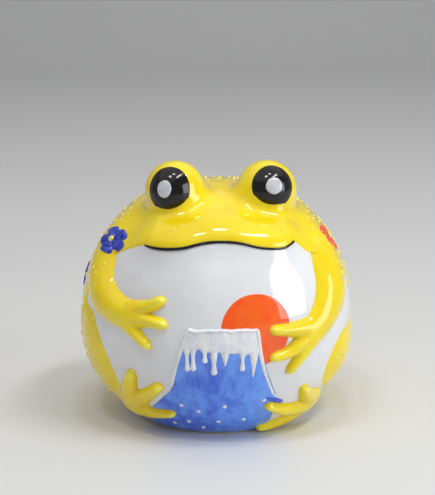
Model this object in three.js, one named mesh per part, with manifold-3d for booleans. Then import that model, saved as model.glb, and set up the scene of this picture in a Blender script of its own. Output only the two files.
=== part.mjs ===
// A round porcelain frog ornament: a hollow cast ball with a modelled yellow head and back, raised limbs
// and eye mounds, and thick enamel painting of a snowy mountain, a red sun and blossoms.
// Millimetres, +Z up. The frog faces -Y and its right side is at -X. The origin is the middle of the flat
// foot that it stands on.
//
// Places on the ball are written as [azimuth, elevation] in degrees: azimuth 0 is the front and grows
// towards the frog's left, elevation is 0 at the ball's middle and 90 at the crown.

import * as THREE from "three";
import { mergeVertices } from "three/addons/utils/BufferGeometryUtils.js";
import Module from "manifold-3d";

const wasm = await Module();
wasm.setup();

// Ball
const BALL_RADIUS = 44.4;
const FOOT_RADIUS = 27.3; // of the flat round that the ball stands on
const BALL_CENTRE_Z = Math.sqrt(BALL_RADIUS ** 2 - FOOT_RADIUS ** 2);
const CROWN_DROP = 1.9; // how much flatter the crown is than the full ball
const CROWN_STARTS = 50; // degrees of elevation where the flattening starts
const CROWN_ENDS = 84; // and where it is complete
const WALL = 3; // thickness of the casting
const FOOT_WALL = 3.4; // thickness of the casting under the foot
const VENT_RADIUS = 5; // hole under the foot that lets air out in the kiln
const VENT_BACK = 11; // from the middle of the foot towards the back

// Clearances between pieces, and depths used only for cutting
const GAP = 0.3;
const BELOW_SKIN = 2; // how far a piece reaches under the ball's skin before it is trimmed to it
const ABOVE_SKIN = 16; // how far a cutter stands out of the ball

// How fine the faces are
const BALL_SEGMENTS = 40;
const BALL_ROW = 7; // degrees of elevation from one row of points on the ball to the next
const HOLLOW_SEGMENTS = 24;
const HOLLOW_ROWS = 11;
const COAT_SEGMENTS = 40;
const COAT_ROWS = [
  { from: -62, to: 32, step: 7.5 }, // back and flanks
  { from: 34, to: 62, step: 3 }, // lip and brow
  { from: 66, to: 90, step: 7 }, // crown
];
const MOUND_SEGMENTS = 24;
const EYE_SEGMENTS = 20;
const EYE_ROWS = 4;
const GLINT_SEGMENTS = 12;
const VENT_SEGMENTS = 16;
const LINE_SIDES = 6; // of the section of the mouth line and of a snow ridge
const MOUTH_STEPS = 22; // along the mouth line
const RIDGE_STEPS = 6; // along a snow ridge
const BEAD_SEGMENTS = 8;
const BEAD_RINGS = [0.6, 1]; // as shares of a bead's radius
const PETAL_FACES = 4; // round one petal's edge
const SPAN_SECTIONS = 2; // cross-sections of a limb from one stop of its path to the next
const END_TURNS = [30, 58, 80]; // degrees round a limb's end where it has a cross-section
const BROAD_FACES = 6; // faces across an arm or a thigh
const FINGER_FACES = 4; // and across a finger, a toe or a drip of snow
const FIELD_COLUMNS = 6;
const FIELD_ROWS = 3;
const PAINT_RINGS = [0.2, 0.4, 0.6, 0.8, 1]; // across a painted field, as shares of its outline
const SUN_RINGS = [0.35, 0.7, 1];
const SUN_SEGMENTS = 32;

// Yellow head and back
const COAT = 0.6; // thickness of the yellow layer away from the face
const COAT_HEM_Z = 4; // height above the table where the yellow ends at the back
const LIP_RISE = 2.4; // how far the upper lip stands out
const LIP_CREST = 4; // height of the lip's crest above the mouth line
const LIP_SIDE_STARTS = 36; // degrees of azimuth where the lip starts to fade
const LIP_SIDE_ENDS = 54; // and where it has gone
const BROW_HOLLOW = 0.7; // depth of the hollow between lip and brow
const BROW_ABOVE_MOUTH = 13; // height of that hollow above the mouth line
const BROW_HALF_HEIGHT = 4.5;

// Mouth, from the frog's right corner to its left one
const MOUTH_RADIUS = 0.45;
const MOUTH_LINE = [
  [-39.6, 35.9],
  [-31.5, 35.1],
  [-20, 35.9],
  [-9.1, 38.5],
  [-0.3, 39.2],
  [8.7, 38.4],
  [19, 35.9],
  [29, 34.9],
  [34.1, 35.9],
  [38.2, 37.2],
];

// Edge of the white belly below the mouth corners: down the frog's left flank, along the foot and up the
// right flank. Its upper stretches lie under the arms.
const BELLY_CENTRE = [4, -10];
const BELLY_EDGE = [
  [46, 32.5],
  [62, 23],
  [82, 13],
  [91, 3],
  [92, -16],
  [84, -36],
  [70, -58],
  [0, -62],
  [-66, -58],
  [-80, -36],
  [-79, -16],
  [-75.5, 2],
  [-72, 16],
  [-62, 28],
  [-50, 34],
];

// Limbs. A path is a row of [azimuth, elevation, half width, height] that the limb runs along. The half
// width is in degrees of the ball, and the height is a share of the limb height. The first path of a limb
// is its broad one, the others are its fingers or toes.
const LIMB_HEIGHT = 3.4; // of the highest limb over its rim
const LIMB_RIM = 0.5; // thickness of a limb at its edge
const RIGHT_ARM = {
  centre: [-48, 14],
  paths: [
    [
      [-71, 36, 9.8, 0.65],
      [-67, 25, 9.5, 0.88],
      [-59.5, 14.2, 8.8, 1],
      [-49, 9.4, 7, 1],
      [-41, 7.6, 6.6, 0.91],
    ],
    [
      [-39, 10, 4.4, 0.85],
      [-31.5, 12.6, 3, 0.74],
      [-26.2, 15.2, 2.7, 0.68],
    ],
    [
      [-38.5, 7.4, 4.6, 0.85],
      [-31, 7.1, 3.1, 0.74],
      [-24.8, 6.3, 2.7, 0.68],
    ],
    [
      [-41.5, 5.5, 4.9, 0.85],
      [-35.5, 0.2, 3, 0.74],
      [-31.4, -2.8, 2.5, 0.65],
    ],
  ],
};
const LEFT_ARM = {
  centre: [44, 10],
  paths: [
    [
      [62.3, 33, 10.6, 0.65],
      [58.5, 25, 11, 0.88],
      [55, 15, 10.5, 1],
      [47.5, 6.6, 8.1, 1],
      [39.5, 0.2, 6.7, 0.91],
    ],
    [
      [38.5, 2, 5.2, 0.85],
      [28, 3.1, 3.2, 0.74],
      [20.9, 3.8, 2.6, 0.68],
    ],
    [
      [37, -1, 5.2, 0.85],
      [28, -5.8, 3.2, 0.74],
      [21.2, -7.4, 2.6, 0.68],
    ],
    [
      [38, -2.5, 5.4, 0.85],
      [33, -9, 3.2, 0.74],
      [29, -13.8, 2.5, 0.65],
    ],
  ],
};
const RIGHT_THIGH = {
  centre: [-74, -15],
  paths: [
    [
      [-73, -6, 12.5, 0.6],
      [-70, -17, 14.5, 0.71],
      [-67, -27, 13, 0.6],
    ],
    [
      [-71, -16, 14.5, 0.71],
      [-84, -13, 13.5, 0.35],
    ],
  ],
};
const LEFT_THIGH = {
  centre: [74, -15],
  paths: [
    [
      [68.5, -18, 14.8, 0.76],
      [82, -15, 13.5, 0.47],
    ],
  ],
};
const RIGHT_FOOT = {
  centre: [-42, -30],
  paths: [
    [
      [-51.5, -36, 7.4, 0.82],
      [-46, -25.5, 4.6, 0.82],
      [-41.6, -18, 3, 0.71],
    ],
    [
      [-46, -32.5, 5.4, 0.79],
      [-36.8, -27.6, 3.5, 0.76],
      [-28.6, -21.6, 2.6, 0.71],
    ],
    [
      [-47.5, -38, 5.9, 0.76],
      [-36, -37.8, 3.5, 0.68],
      [-25.8, -36, 2.2, 0.62],
    ],
  ],
};
const LEFT_FOOT = {
  centre: [42, -36],
  paths: [
    [
      [55, -36.5, 7, 0.82],
      [46.5, -31.5, 4.1, 0.82],
      [40.3, -25.8, 2.5, 0.71],
    ],
    [
      [52, -38, 5.9, 0.79],
      [36.5, -37.2, 3.9, 0.76],
      [23.2, -31.8, 2.5, 0.71],
    ],
    [
      [52, -40.5, 6.5, 0.76],
      [36, -46.5, 3.6, 0.68],
      [24.5, -47.6, 2.1, 0.62],
    ],
  ],
};
const LIMB_LOWEST_Z = 0.8; // height above the table where the toes are cut off

// Eyes. The mounds are balls of their own that run into the head with a hollow round.
const MOUND_RADIUS = 0.216 * BALL_RADIUS;
const MOUND_STANDS_OUT = 0.28 * MOUND_RADIUS; // of the ball's skin, at the mound's centre
const MOUND_ROUND = 0.52 * MOUND_RADIUS; // radius of the hollow round at its foot
const MOUND_RINGS = [0.35, 0.62, 0.83, 1]; // rings of points, as shares of the way to that round
const ROUND_RINGS = [0.25, 0.5, 0.75, 1]; // and across it
const EYE_RADIUS = 0.66 * MOUND_RADIUS; // of the black eye's rim
const EYE_BULGE = 1; // how far the black eye stands out of its mound
const EYE_EDGE = 0.6; // thickness of the black eye at its rim
const GLINT_THICKNESS = 0.35;
const RIGHT_EYE = {
  mound: [-43, 63.9], // place of the mound's axis on the head
  looks: [-15, 13], // where the eye's axis points
  glint: [-20.5, 12.6], // where the glint lies, seen from the eye
  glintRadius: 0.37 * EYE_RADIUS,
};
const LEFT_EYE = {
  mound: [47.3, 63.5],
  looks: [9.5, 18],
  glint: [9.1, 16.5],
  glintRadius: 0.42 * EYE_RADIUS,
};

// Mountain, snow and sun on the belly
const ENAMEL = 0.45; // thickness of the flat painting
const MOTIF_CENTRE = [-3, -30];
const MOTIF_LOWEST_Z = 1.2; // height above the table where the mountain ends
const MOUNTAIN_TOP = 4.8; // elevation of the flat summit
const RIGHT_SLOPE = [
  [-13.8, MOUNTAIN_TOP],
  [-17.6, -6],
  [-22.4, -21],
  [-31, -29.5],
  [-46, -42],
  [-50, -60],
];
const LEFT_SLOPE = [
  [30, -60],
  [28, -36],
  [29.3, -30.4],
  [23.6, -25.6],
  [19.6, -18.6],
  [16.6, -11.4],
  [14.7, -4],
  [13.4, MOUNTAIN_TOP],
];
const SNOW_FIELD_HEIGHT = 0.6; // over the flat painting
const DRIP_HEIGHT = 0.9;
const SNOW_FIELD_LOWEST = -3.4; // elevation of the snow field's lower edge
const DRIP_RADIUS = 0.8;
const DRIP_END_RADIUS = 1.05;
const DRIPS_START = -2; // elevation where the drips leave the snow field
const DRIPS = [
  [-14.4, -11.2],
  [-12, -11],
  [-7.3, -7.4],
  [-3.7, -12.5],
  [0.7, -9],
  [7.6, -11.1],
  [12.2, -14.6],
];
const RIDGE_RADIUS = 0.55;
const SUN_CENTRE = [13.4, 4.5];
const SUN_RADIUS = 11.15;
const SNOWFLAKE_RADIUS = 0.75;
const SNOWFLAKE_HEIGHT = 0.5;
const BEAD_EDGE = 0.3; // height of a dot's or bead's edge, as a share of its full height
const SNOWFLAKES = [
  [-19.2, -30.1],
  [-11.4, -33.2],
  [0.9, -30],
  [11.5, -39.3],
  [19.2, -28],
  [-1.8, -40.2],
  [-17.8, -41],
  [-27, -43.6],
  [-10.5, -45.5],
];

// Blossoms on the shoulders and back
const PETAL_RADIUS = 5.2; // from the middle to a petal's tip
const PETAL_DIP = 0.24; // how deep the notches between petals are, as a share of that
const PETALS = 5;
const PETAL_THICKNESS = 0.7;
const PETAL_FALL = 0.4; // how much thinner a petal's tip is, as a share of that
const BEAD_RADIUS = 1.5;
const BEAD_HEIGHT = 0.9;
const BLUE_BLOSSOMS = [
  [-64, 35],
  [-98, 13],
  [-98, -6],
  [-138, 24],
];
const RED_BLOSSOMS = [
  [70, 34.5],
  [108, 8],
  [142, 26],
  [128, -14],
];

// Directions and the ball's skin

// Length along the ball's skin of an arc.
function arc(degrees) {
  return THREE.MathUtils.degToRad(degrees) * BALL_RADIUS;
}

function direction([azimuth, elevation]) {
  const a = THREE.MathUtils.degToRad(azimuth);
  const e = THREE.MathUtils.degToRad(elevation);
  return new THREE.Vector3(Math.sin(a) * Math.cos(e), -Math.cos(a) * Math.cos(e), Math.sin(e));
}

function azimuthOf(way) {
  return THREE.MathUtils.radToDeg(Math.atan2(way.x, -way.y));
}

function elevationOf(way) {
  return THREE.MathUtils.radToDeg(Math.asin(THREE.MathUtils.clamp(way.z, -1, 1)));
}

// Distance from the ball's centre to the casting's skin.
function ballRadius(way) {
  const flat = THREE.MathUtils.smoothstep(elevationOf(way), CROWN_STARTS, CROWN_ENDS);
  return BALL_RADIUS - CROWN_DROP * flat;
}

// A flat map of the skin round one place, in millimetres, that keeps distances from that place true.
class Chart {
  constructor(place) {
    const a = THREE.MathUtils.degToRad(place[0]);
    this.out = direction(place);
    this.east = new THREE.Vector3(Math.cos(a), Math.sin(a), 0);
    this.north = new THREE.Vector3().crossVectors(this.out, this.east);
  }
  flat(way) {
    const x = way.dot(this.east);
    const y = way.dot(this.north);
    const side = Math.hypot(x, y);
    if (side < 1e-9) return new THREE.Vector2(0, 0);
    const stretch = (BALL_RADIUS * Math.atan2(side, way.dot(this.out))) / side;
    return new THREE.Vector2(x * stretch, y * stretch);
  }
  way(u, v) {
    const length = Math.hypot(u, v);
    if (length < 1e-9) return this.out.clone();
    const angle = length / BALL_RADIUS;
    return this.out
      .clone()
      .multiplyScalar(Math.cos(angle))
      .addScaledVector(this.east, (Math.sin(angle) * u) / length)
      .addScaledVector(this.north, (Math.sin(angle) * v) / length);
  }
}

// Solids

function solidOf(geometry) {
  const bare = new THREE.BufferGeometry();
  bare.setAttribute("position", geometry.getAttribute("position").clone());
  if (geometry.index) bare.setIndex(geometry.index.clone());
  const merged = mergeVertices(bare, 1e-4);
  return new wasm.Manifold(
    new wasm.Mesh({
      numProp: 3,
      vertProperties: merged.attributes.position.array,
      triVerts: new Uint32Array(merged.index.array),
    }),
  );
}

// The largest body of a solid, without the splinters that crossing cuts leave.
function mainBody(solid) {
  return solid.decompose().reduce((main, body) => (body.volume() > main.volume() ? body : main));
}

function geometryOf(solid) {
  const mesh = solid.getMesh();
  const geometry = new THREE.BufferGeometry();
  geometry.setAttribute("position", new THREE.BufferAttribute(mesh.vertProperties, mesh.numProp));
  geometry.setIndex(new THREE.BufferAttribute(mesh.triVerts, 1));
  geometry.computeVertexNormals();
  return geometry;
}

function geometryFrom(points, faces) {
  const geometry = new THREE.BufferGeometry();
  geometry.setAttribute("position", new THREE.Float32BufferAttribute(points.flat(), 3));
  geometry.setIndex(faces);
  return geometry;
}

// A solid of revolution about +Z, from a profile of [distance from the axis, height].
function turned(profile, segments) {
  const points = profile.map(([r, z]) => new THREE.Vector2(r, z));
  return new THREE.LatheGeometry(points, segments).rotateX(Math.PI / 2);
}

// A closed piece from a grid of points: top(i, j) over floor(i, j), with walls along its four edges.
function gridSolid(rows, columns, top, floor) {
  const points = [];
  const faces = [];
  for (let i = 0; i < rows; i++) {
    for (let j = 0; j < columns; j++) points.push(top(i, j), floor(i, j));
  }
  const at = (i, j) => 2 * (i * columns + j);
  for (let i = 0; i + 1 < rows; i++) {
    for (let j = 0; j + 1 < columns; j++) {
      const [a, b, c, d] = [at(i, j), at(i + 1, j), at(i + 1, j + 1), at(i, j + 1)];
      faces.push(a, b, c, a, c, d, a + 1, c + 1, b + 1, a + 1, d + 1, c + 1);
    }
  }
  const wall = (from, to) => faces.push(from, from + 1, to + 1, from, to + 1, to);
  for (let i = 0; i + 1 < rows; i++) {
    wall(at(i, 0), at(i + 1, 0));
    wall(at(i + 1, columns - 1), at(i, columns - 1));
  }
  for (let j = 0; j + 1 < columns; j++) {
    wall(at(rows - 1, j), at(rows - 1, j + 1));
    wall(at(0, j + 1), at(0, j));
  }
  return geometryFrom(points, faces);
}

// A closed round piece about a chart's centre: rings at shares of its flat outline, from floor to top.
function rosette(chart, rings, outline, floor, top) {
  const points = [];
  const faces = [];
  const add = (u, v, radius) => points.push(chart.way(u, v).multiplyScalar(radius(u, v)).toArray()) - 1;
  const ringAt = (share, radius) => outline.map(({ x, y }) => add(share * x, share * y, radius));
  const middle = add(0, 0, top);
  const bottom = add(0, 0, floor);
  const nextOf = (ring, i) => ring[(i + 1) % ring.length];
  let inner = null;
  for (const share of rings) {
    const ring = ringAt(share, top);
    ring.forEach((here, i) => {
      const next = nextOf(ring, i);
      if (inner) faces.push(inner[i], here, next, inner[i], next, nextOf(inner, i));
      else faces.push(middle, here, next);
    });
    inner = ring;
  }
  const under = ringAt(1, floor);
  inner.forEach((here, i) => {
    faces.push(here, under[i], nextOf(under, i), here, nextOf(under, i), nextOf(inner, i));
    faces.push(bottom, nextOf(under, i), under[i]);
  });
  return geometryFrom(points, faces);
}

// Flat points round the origin at radius(angle).
function roundOutline(segments, radius) {
  return Array.from({ length: segments }, (_, i) => {
    const angle = (2 * Math.PI * i) / segments;
    return new THREE.Vector2(Math.cos(angle), Math.sin(angle)).multiplyScalar(radius(angle));
  });
}

// A flat closed outline moved outwards by a distance.
function grownOutline(outline, distance) {
  return outline.map((point, i) => {
    const before = outline.at(i - 1);
    const after = outline[(i + 1) % outline.length];
    const along = after.clone().sub(before).normalize();
    return new THREE.Vector2(point.x + distance * along.y, point.y - distance * along.x);
  });
}

// Places on the skin as a smooth row of flat points.
function smoothRow(chart, places, perSpan, closed = false) {
  const corners = places.map((place) => {
    const { x, y } = chart.flat(direction(place));
    return new THREE.Vector3(x, y, 0);
  });
  const curve = new THREE.CatmullRomCurve3(corners, closed, "centripetal");
  const spans = closed ? corners.length : corners.length - 1;
  const points = curve.getPoints(perSpan * spans).map(({ x, y }) => new THREE.Vector2(x, y));
  return closed ? points.slice(0, -1) : points;
}

// A closed ball whose skin is at radius(way), with its points on rows of elevation.
function lumpyBall(elevations, segments, radius) {
  const points = [
    new THREE.Vector3(0, 0, -radius(new THREE.Vector3(0, 0, -1))).toArray(),
    new THREE.Vector3(0, 0, radius(new THREE.Vector3(0, 0, 1))).toArray(),
  ];
  const faces = [];
  const rings = elevations.map((elevation) =>
    Array.from({ length: segments }, (_, i) => {
      const way = direction([(360 * i) / segments, elevation]);
      return points.push(way.clone().multiplyScalar(radius(way)).toArray()) - 1;
    }),
  );
  for (let i = 0; i < segments; i++) {
    const j = (i + 1) % segments;
    faces.push(0, rings[0][j], rings[0][i]);
    faces.push(1, rings.at(-1)[i], rings.at(-1)[j]);
    for (let k = 1; k < rings.length; k++) {
      const [below, above] = [rings[k - 1], rings[k]];
      faces.push(below[i], below[j], above[j], below[i], above[j], above[i]);
    }
  }
  return geometryFrom(points, faces);
}

// Everything below a height above the table.
function belowHeight(z) {
  const depth = 20;
  const disc = new THREE.CylinderGeometry(2 * BALL_RADIUS, 2 * BALL_RADIUS, depth, 8).rotateX(Math.PI / 2);
  return solidOf(disc.translate(0, 0, z - BALL_CENTRE_Z - depth / 2));
}

// Casting

// Profile of the ball grown by `grow`, standing on a flat foot that many millimetres lower.
function ballProfile(grow) {
  const footZ = -BALL_CENTRE_Z - grow;
  const lowest = THREE.MathUtils.radToDeg(Math.asin(footZ / (BALL_RADIUS + grow)));
  const rows = Math.round((90 - lowest) / BALL_ROW);
  const profile = [[0, footZ]];
  for (let row = 0; row < rows; row++) {
    const way = direction([90, lowest + ((90 - lowest) * row) / rows]);
    const radius = ballRadius(way) + grow;
    profile.push([radius * way.x, radius * way.z]);
  }
  profile.push([0, ballRadius(new THREE.Vector3(0, 0, 1)) + grow]);
  return profile;
}

function bodyCasting() {
  const inner = BALL_RADIUS - WALL;
  const floorZ = FOOT_WALL - BALL_CENTRE_Z;
  const lowest = Math.asin(floorZ / inner);
  const hollow = [[0, floorZ]];
  for (let row = 0; row < HOLLOW_ROWS; row++) {
    const angle = lowest + ((Math.PI / 2 - lowest) * row) / HOLLOW_ROWS;
    const radius = ballRadius(new THREE.Vector3(Math.cos(angle), 0, Math.sin(angle))) - WALL;
    hollow.push([radius * Math.cos(angle), radius * Math.sin(angle)]);
  }
  hollow.push([0, ballRadius(new THREE.Vector3(0, 0, 1)) - WALL]);
  const vent = new THREE.CylinderGeometry(VENT_RADIUS, VENT_RADIUS, 3 * FOOT_WALL, VENT_SEGMENTS);
  vent.rotateX(Math.PI / 2).translate(0, VENT_BACK, -BALL_CENTRE_Z);
  return solidOf(turned(ballProfile(0), BALL_SEGMENTS))
    .subtract(solidOf(turned(hollow, HOLLOW_SEGMENTS)))
    .subtract(solidOf(vent));
}

const grownBall = solidOf(turned(ballProfile(GAP), BALL_SEGMENTS));

// Limbs

// A limb's path laid out flat, with its half widths and heights in millimetres.
function flatPath(chart, path) {
  return path.map(([azimuth, elevation, width, height]) => ({
    place: chart.flat(direction([azimuth, elevation])),
    width: arc(width),
    height: height * LIMB_HEIGHT,
  }));
}

// Cross-sections of a raised path: where each lies, which way is along, its half width and its height.
// Both ends are round, with the height falling away there as it does across the path.
function pathSections(path, grow) {
  const curveOf = (pairs) => new THREE.CatmullRomCurve3(pairs.map(([x, y]) => new THREE.Vector3(x, y, 0)));
  const line = curveOf(path.map(({ place }) => [place.x, place.y]));
  const sizes = curveOf(path.map(({ width, height }) => [width, height]));
  const count = SPAN_SECTIONS * (path.length - 1);
  const sections = Array.from({ length: count + 1 }, (_, i) => {
    const size = sizes.getPoint(i / count);
    return {
      place: line.getPoint(i / count),
      along: line.getTangent(i / count),
      width: size.x + grow,
      height: size.y,
    };
  });
  const ending = (section, way) =>
    END_TURNS.map((degrees) => {
      const turn = THREE.MathUtils.degToRad(degrees);
      return {
        place: section.place.clone().addScaledVector(section.along, way * section.width * Math.sin(turn)),
        along: section.along,
        width: section.width * Math.cos(turn),
        height: section.height * Math.cos(turn) ** 2,
      };
    });
  return [...ending(sections[0], -1).reverse(), ...sections, ...ending(sections.at(-1), 1)];
}

// A raised path as a solid: a parabola's arch across, over a rim of even thickness.
function raisedPath(chart, path, { grow = 0, rim, across, deep, tall = 0 }) {
  const sections = pathSections(path, grow);
  const point = (i, j, rise) => {
    const { place, along, width, height } = sections[i];
    const side = (2 * j) / across - 1;
    const u = place.x - side * width * along.y;
    const v = place.y + side * width * along.x;
    const way = chart.way(u, v);
    return way.clone().multiplyScalar(ballRadius(way) + rise(height * (1 - side * side))).toArray();
  };
  const top = (i, j) => point(i, j, (arch) => (tall ? tall : GAP + rim + arch));
  const floor = (i, j) => point(i, j, () => -deep);
  return solidOf(gridSolid(sections.length, across + 1, top, floor));
}

function joined(solids) {
  return solids.reduce((whole, solid) => whole.add(solid));
}

// Height over the skin of the highest of the paths at one direction, or below 0 beside them.
function reliefHeight(chart, paths) {
  const stretches = paths.flatMap((path) => path.slice(1).map((to, i) => [path[i], to]));
  return (way) => {
    const here = chart.flat(way);
    const heights = stretches.map(([from, to]) => {
      const span = to.place.clone().sub(from.place);
      const along = here.clone().sub(from.place).dot(span) / span.lengthSq();
      const share = THREE.MathUtils.clamp(along, 0, 1);
      const off = here.distanceTo(from.place.clone().addScaledVector(span, share));
      const width = THREE.MathUtils.lerp(from.width, to.width, share);
      return THREE.MathUtils.lerp(from.height, to.height, share) * (1 - (off / width) ** 2);
    });
    return Math.max(...heights);
  };
}

function onSkin(chart, extra) {
  return (u, v) => ballRadius(chart.way(u, v)) + extra;
}

// A limb, the solid that cuts room for it out of its neighbours, and the solid that cuts room over it.
function makeLimb(limb) {
  const chart = new Chart(limb.centre);
  const paths = limb.paths.map((path) => flatPath(chart, path));
  const height = reliefHeight(chart, paths);
  const build = (sizes) =>
    joined(
      paths.map((path, i) => {
        const faces = i === 0 ? BROAD_FACES : FINGER_FACES;
        return raisedPath(chart, path, { across: faces, rim: LIMB_RIM, ...sizes });
      }),
    );
  return {
    solid: build({ deep: BELOW_SKIN }).subtract(grownBall).subtract(belowHeight(LIMB_LOWEST_Z)),
    cutter: build({ grow: GAP, deep: 2 * BELOW_SKIN, tall: ABOVE_SKIN }),
    cover: build({ grow: GAP, deep: BELOW_SKIN, rim: LIMB_RIM + GAP }),
    heightAt: (way) => GAP + LIMB_RIM + height(way),
  };
}

const rightArm = makeLimb(RIGHT_ARM);
const leftArm = makeLimb(LEFT_ARM);
const rightThigh = makeLimb(RIGHT_THIGH);
const leftThigh = makeLimb(LEFT_THIGH);
const rightFoot = makeLimb(RIGHT_FOOT);
const leftFoot = makeLimb(LEFT_FOOT);
const limbs = [rightArm, leftArm, rightThigh, leftThigh, rightFoot, leftFoot];

// Head, back and mouth

const mouthRise = new THREE.CubicInterpolant(
  MOUTH_LINE.map(([azimuth]) => azimuth),
  MOUTH_LINE.map(([, elevation]) => elevation),
  1,
);

// Height over the casting of the yellow layer's outer face.
function coatHeight(way) {
  const azimuth = THREE.MathUtils.clamp(azimuthOf(way), MOUTH_LINE[0][0], MOUTH_LINE.at(-1)[0]);
  const overMouth = elevationOf(way) - mouthRise.evaluate(azimuth)[0];
  const above = THREE.MathUtils.degToRad(overMouth) * BALL_RADIUS;
  const side = 1 - THREE.MathUtils.smoothstep(Math.abs(azimuthOf(way)), LIP_SIDE_STARTS, LIP_SIDE_ENDS);
  const crest = Math.max(0, above / LIP_CREST);
  const lip = LIP_RISE * crest * Math.exp(1 - crest);
  const hollow = BROW_HOLLOW * Math.exp(-(((above - BROW_ABOVE_MOUTH) / BROW_HALF_HEIGHT) ** 2));
  return GAP + COAT + side * (lip - hollow);
}

function coatRadius(way) {
  return ballRadius(way) + coatHeight(way);
}

// The white belly, with the mouth line on its upper edge and grown past that line's own width.
function bellyCutter() {
  const chart = new Chart(BELLY_CENTRE);
  const outline = smoothRow(chart, [...MOUTH_LINE, ...BELLY_EDGE], 3, true).reverse();
  const grown = grownOutline(outline, MOUTH_RADIUS + GAP);
  const deep = onSkin(chart, -2 * BELOW_SKIN);
  return solidOf(rosette(chart, PAINT_RINGS, grown, deep, onSkin(chart, ABOVE_SKIN)));
}

function coatRows() {
  return COAT_ROWS.flatMap(({ from, to, step }) => {
    const count = Math.ceil((to - from) / step);
    return Array.from({ length: count }, (_, i) => from + i * step);
  });
}

// A raised line of enamel along places on the skin.
function enamelLine(places, radius, steps) {
  const curve = new THREE.CatmullRomCurve3(
    places.map((place) => {
      const way = direction(place);
      return way.clone().multiplyScalar(ballRadius(way) + GAP + ENAMEL / 2);
    }),
    false,
    "centripetal",
  );
  const section = new THREE.Shape().absarc(0, 0, radius, 0, 2 * Math.PI);
  const shape = new THREE.Shape(section.getSpacedPoints(LINE_SIDES).slice(0, -1));
  return solidOf(new THREE.ExtrudeGeometry(shape, { steps, extrudePath: curve, bevelEnabled: false }));
}

// Eyes

function moundCentre(mound) {
  const axis = direction(mound);
  return axis.multiplyScalar(ballRadius(axis) + MOUND_STANDS_OUT);
}

// Outer face of a mound at a slant from its axis, as a distance from the ball's centre: first the ball of
// the mound, then the hollow round at its foot. `settled` grows from 0 to 1 across that round.
function moundShape(mound) {
  const centre = moundCentre(mound).length();
  const head = BALL_RADIUS + GAP + COAT;
  const roundCentre = head + MOUND_ROUND;
  const between = MOUND_RADIUS + MOUND_ROUND;
  const along = (roundCentre ** 2 + centre ** 2 - between ** 2) / (2 * centre);
  const across = Math.sqrt(roundCentre ** 2 - along ** 2);
  const footSlant = Math.atan2(across, along);
  const touchShare = MOUND_RADIUS / between;
  const touchSlant = Math.atan2(across * touchShare, centre + (along - centre) * touchShare);
  function outer(slant) {
    if (slant < touchSlant) {
      const off = centre * Math.sin(slant);
      return { radius: centre * Math.cos(slant) + Math.sqrt(MOUND_RADIUS ** 2 - off ** 2), settled: 0 };
    }
    const turn = Math.max(0, footSlant - slant);
    const off = roundCentre * Math.sin(turn);
    const radius = roundCentre * Math.cos(turn) - Math.sqrt(MOUND_ROUND ** 2 - off ** 2);
    return { radius, settled: THREE.MathUtils.smoothstep(slant, touchSlant, footSlant) };
  }
  return { outer, head, footSlant, touchSlant };
}

// The black eye: a lens with a flat back, its face part of a ball, looking along +Z from the mound's
// centre. `grow` makes it larger all round.
function eyeFace() {
  const rim = Math.sqrt(MOUND_RADIUS ** 2 - EYE_RADIUS ** 2);
  const rise = MOUND_RADIUS + EYE_BULGE - rim;
  const radius = (EYE_RADIUS ** 2 + rise ** 2) / (2 * rise);
  return { rim, radius, centre: MOUND_RADIUS + EYE_BULGE - radius };
}

function eyeLens(grow) {
  const face = eyeFace();
  const edge = EYE_RADIUS + grow;
  const radius = face.radius + grow;
  const widest = Math.asin(edge / radius);
  const back = face.rim - EYE_EDGE - grow;
  const profile = [
    [0, back],
    [edge, back],
  ];
  for (let row = 0; row < EYE_ROWS; row++) {
    const slant = widest * (1 - row / EYE_ROWS);
    profile.push([radius * Math.sin(slant), face.centre + radius * Math.cos(slant)]);
  }
  profile.push([0, face.centre + radius]);
  return turned(profile, EYE_SEGMENTS);
}

// A thin round of paint on the eye's face, made looking along +Z from the centre of the face's ball.
function glintDisc(radius) {
  const inner = eyeFace().radius + GAP;
  const outer = inner + GLINT_THICKNESS;
  const slant = Math.asin(radius / inner);
  const at = (r, share) => [r * Math.sin(slant * share), r * Math.cos(slant * share)];
  const under = [0, 0.5, 1].map((share) => at(inner, share));
  const over = [1, 0.5, 0].map((share) => at(outer, share));
  return turned([...under, ...over], GLINT_SEGMENTS);
}

function lookingAlong(place) {
  return new THREE.Quaternion().setFromUnitVectors(new THREE.Vector3(0, 0, 1), direction(place));
}

// Where a glint lies on the eye's face: the face's ball is not centred on the mound.
function glintTurn(looks, glint) {
  const face = eyeFace();
  const way = direction(glint).multiplyScalar(face.centre + face.radius);
  way.addScaledVector(direction(looks), -face.centre);
  return new THREE.Quaternion().setFromUnitVectors(new THREE.Vector3(0, 0, 1), way.normalize());
}

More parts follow.
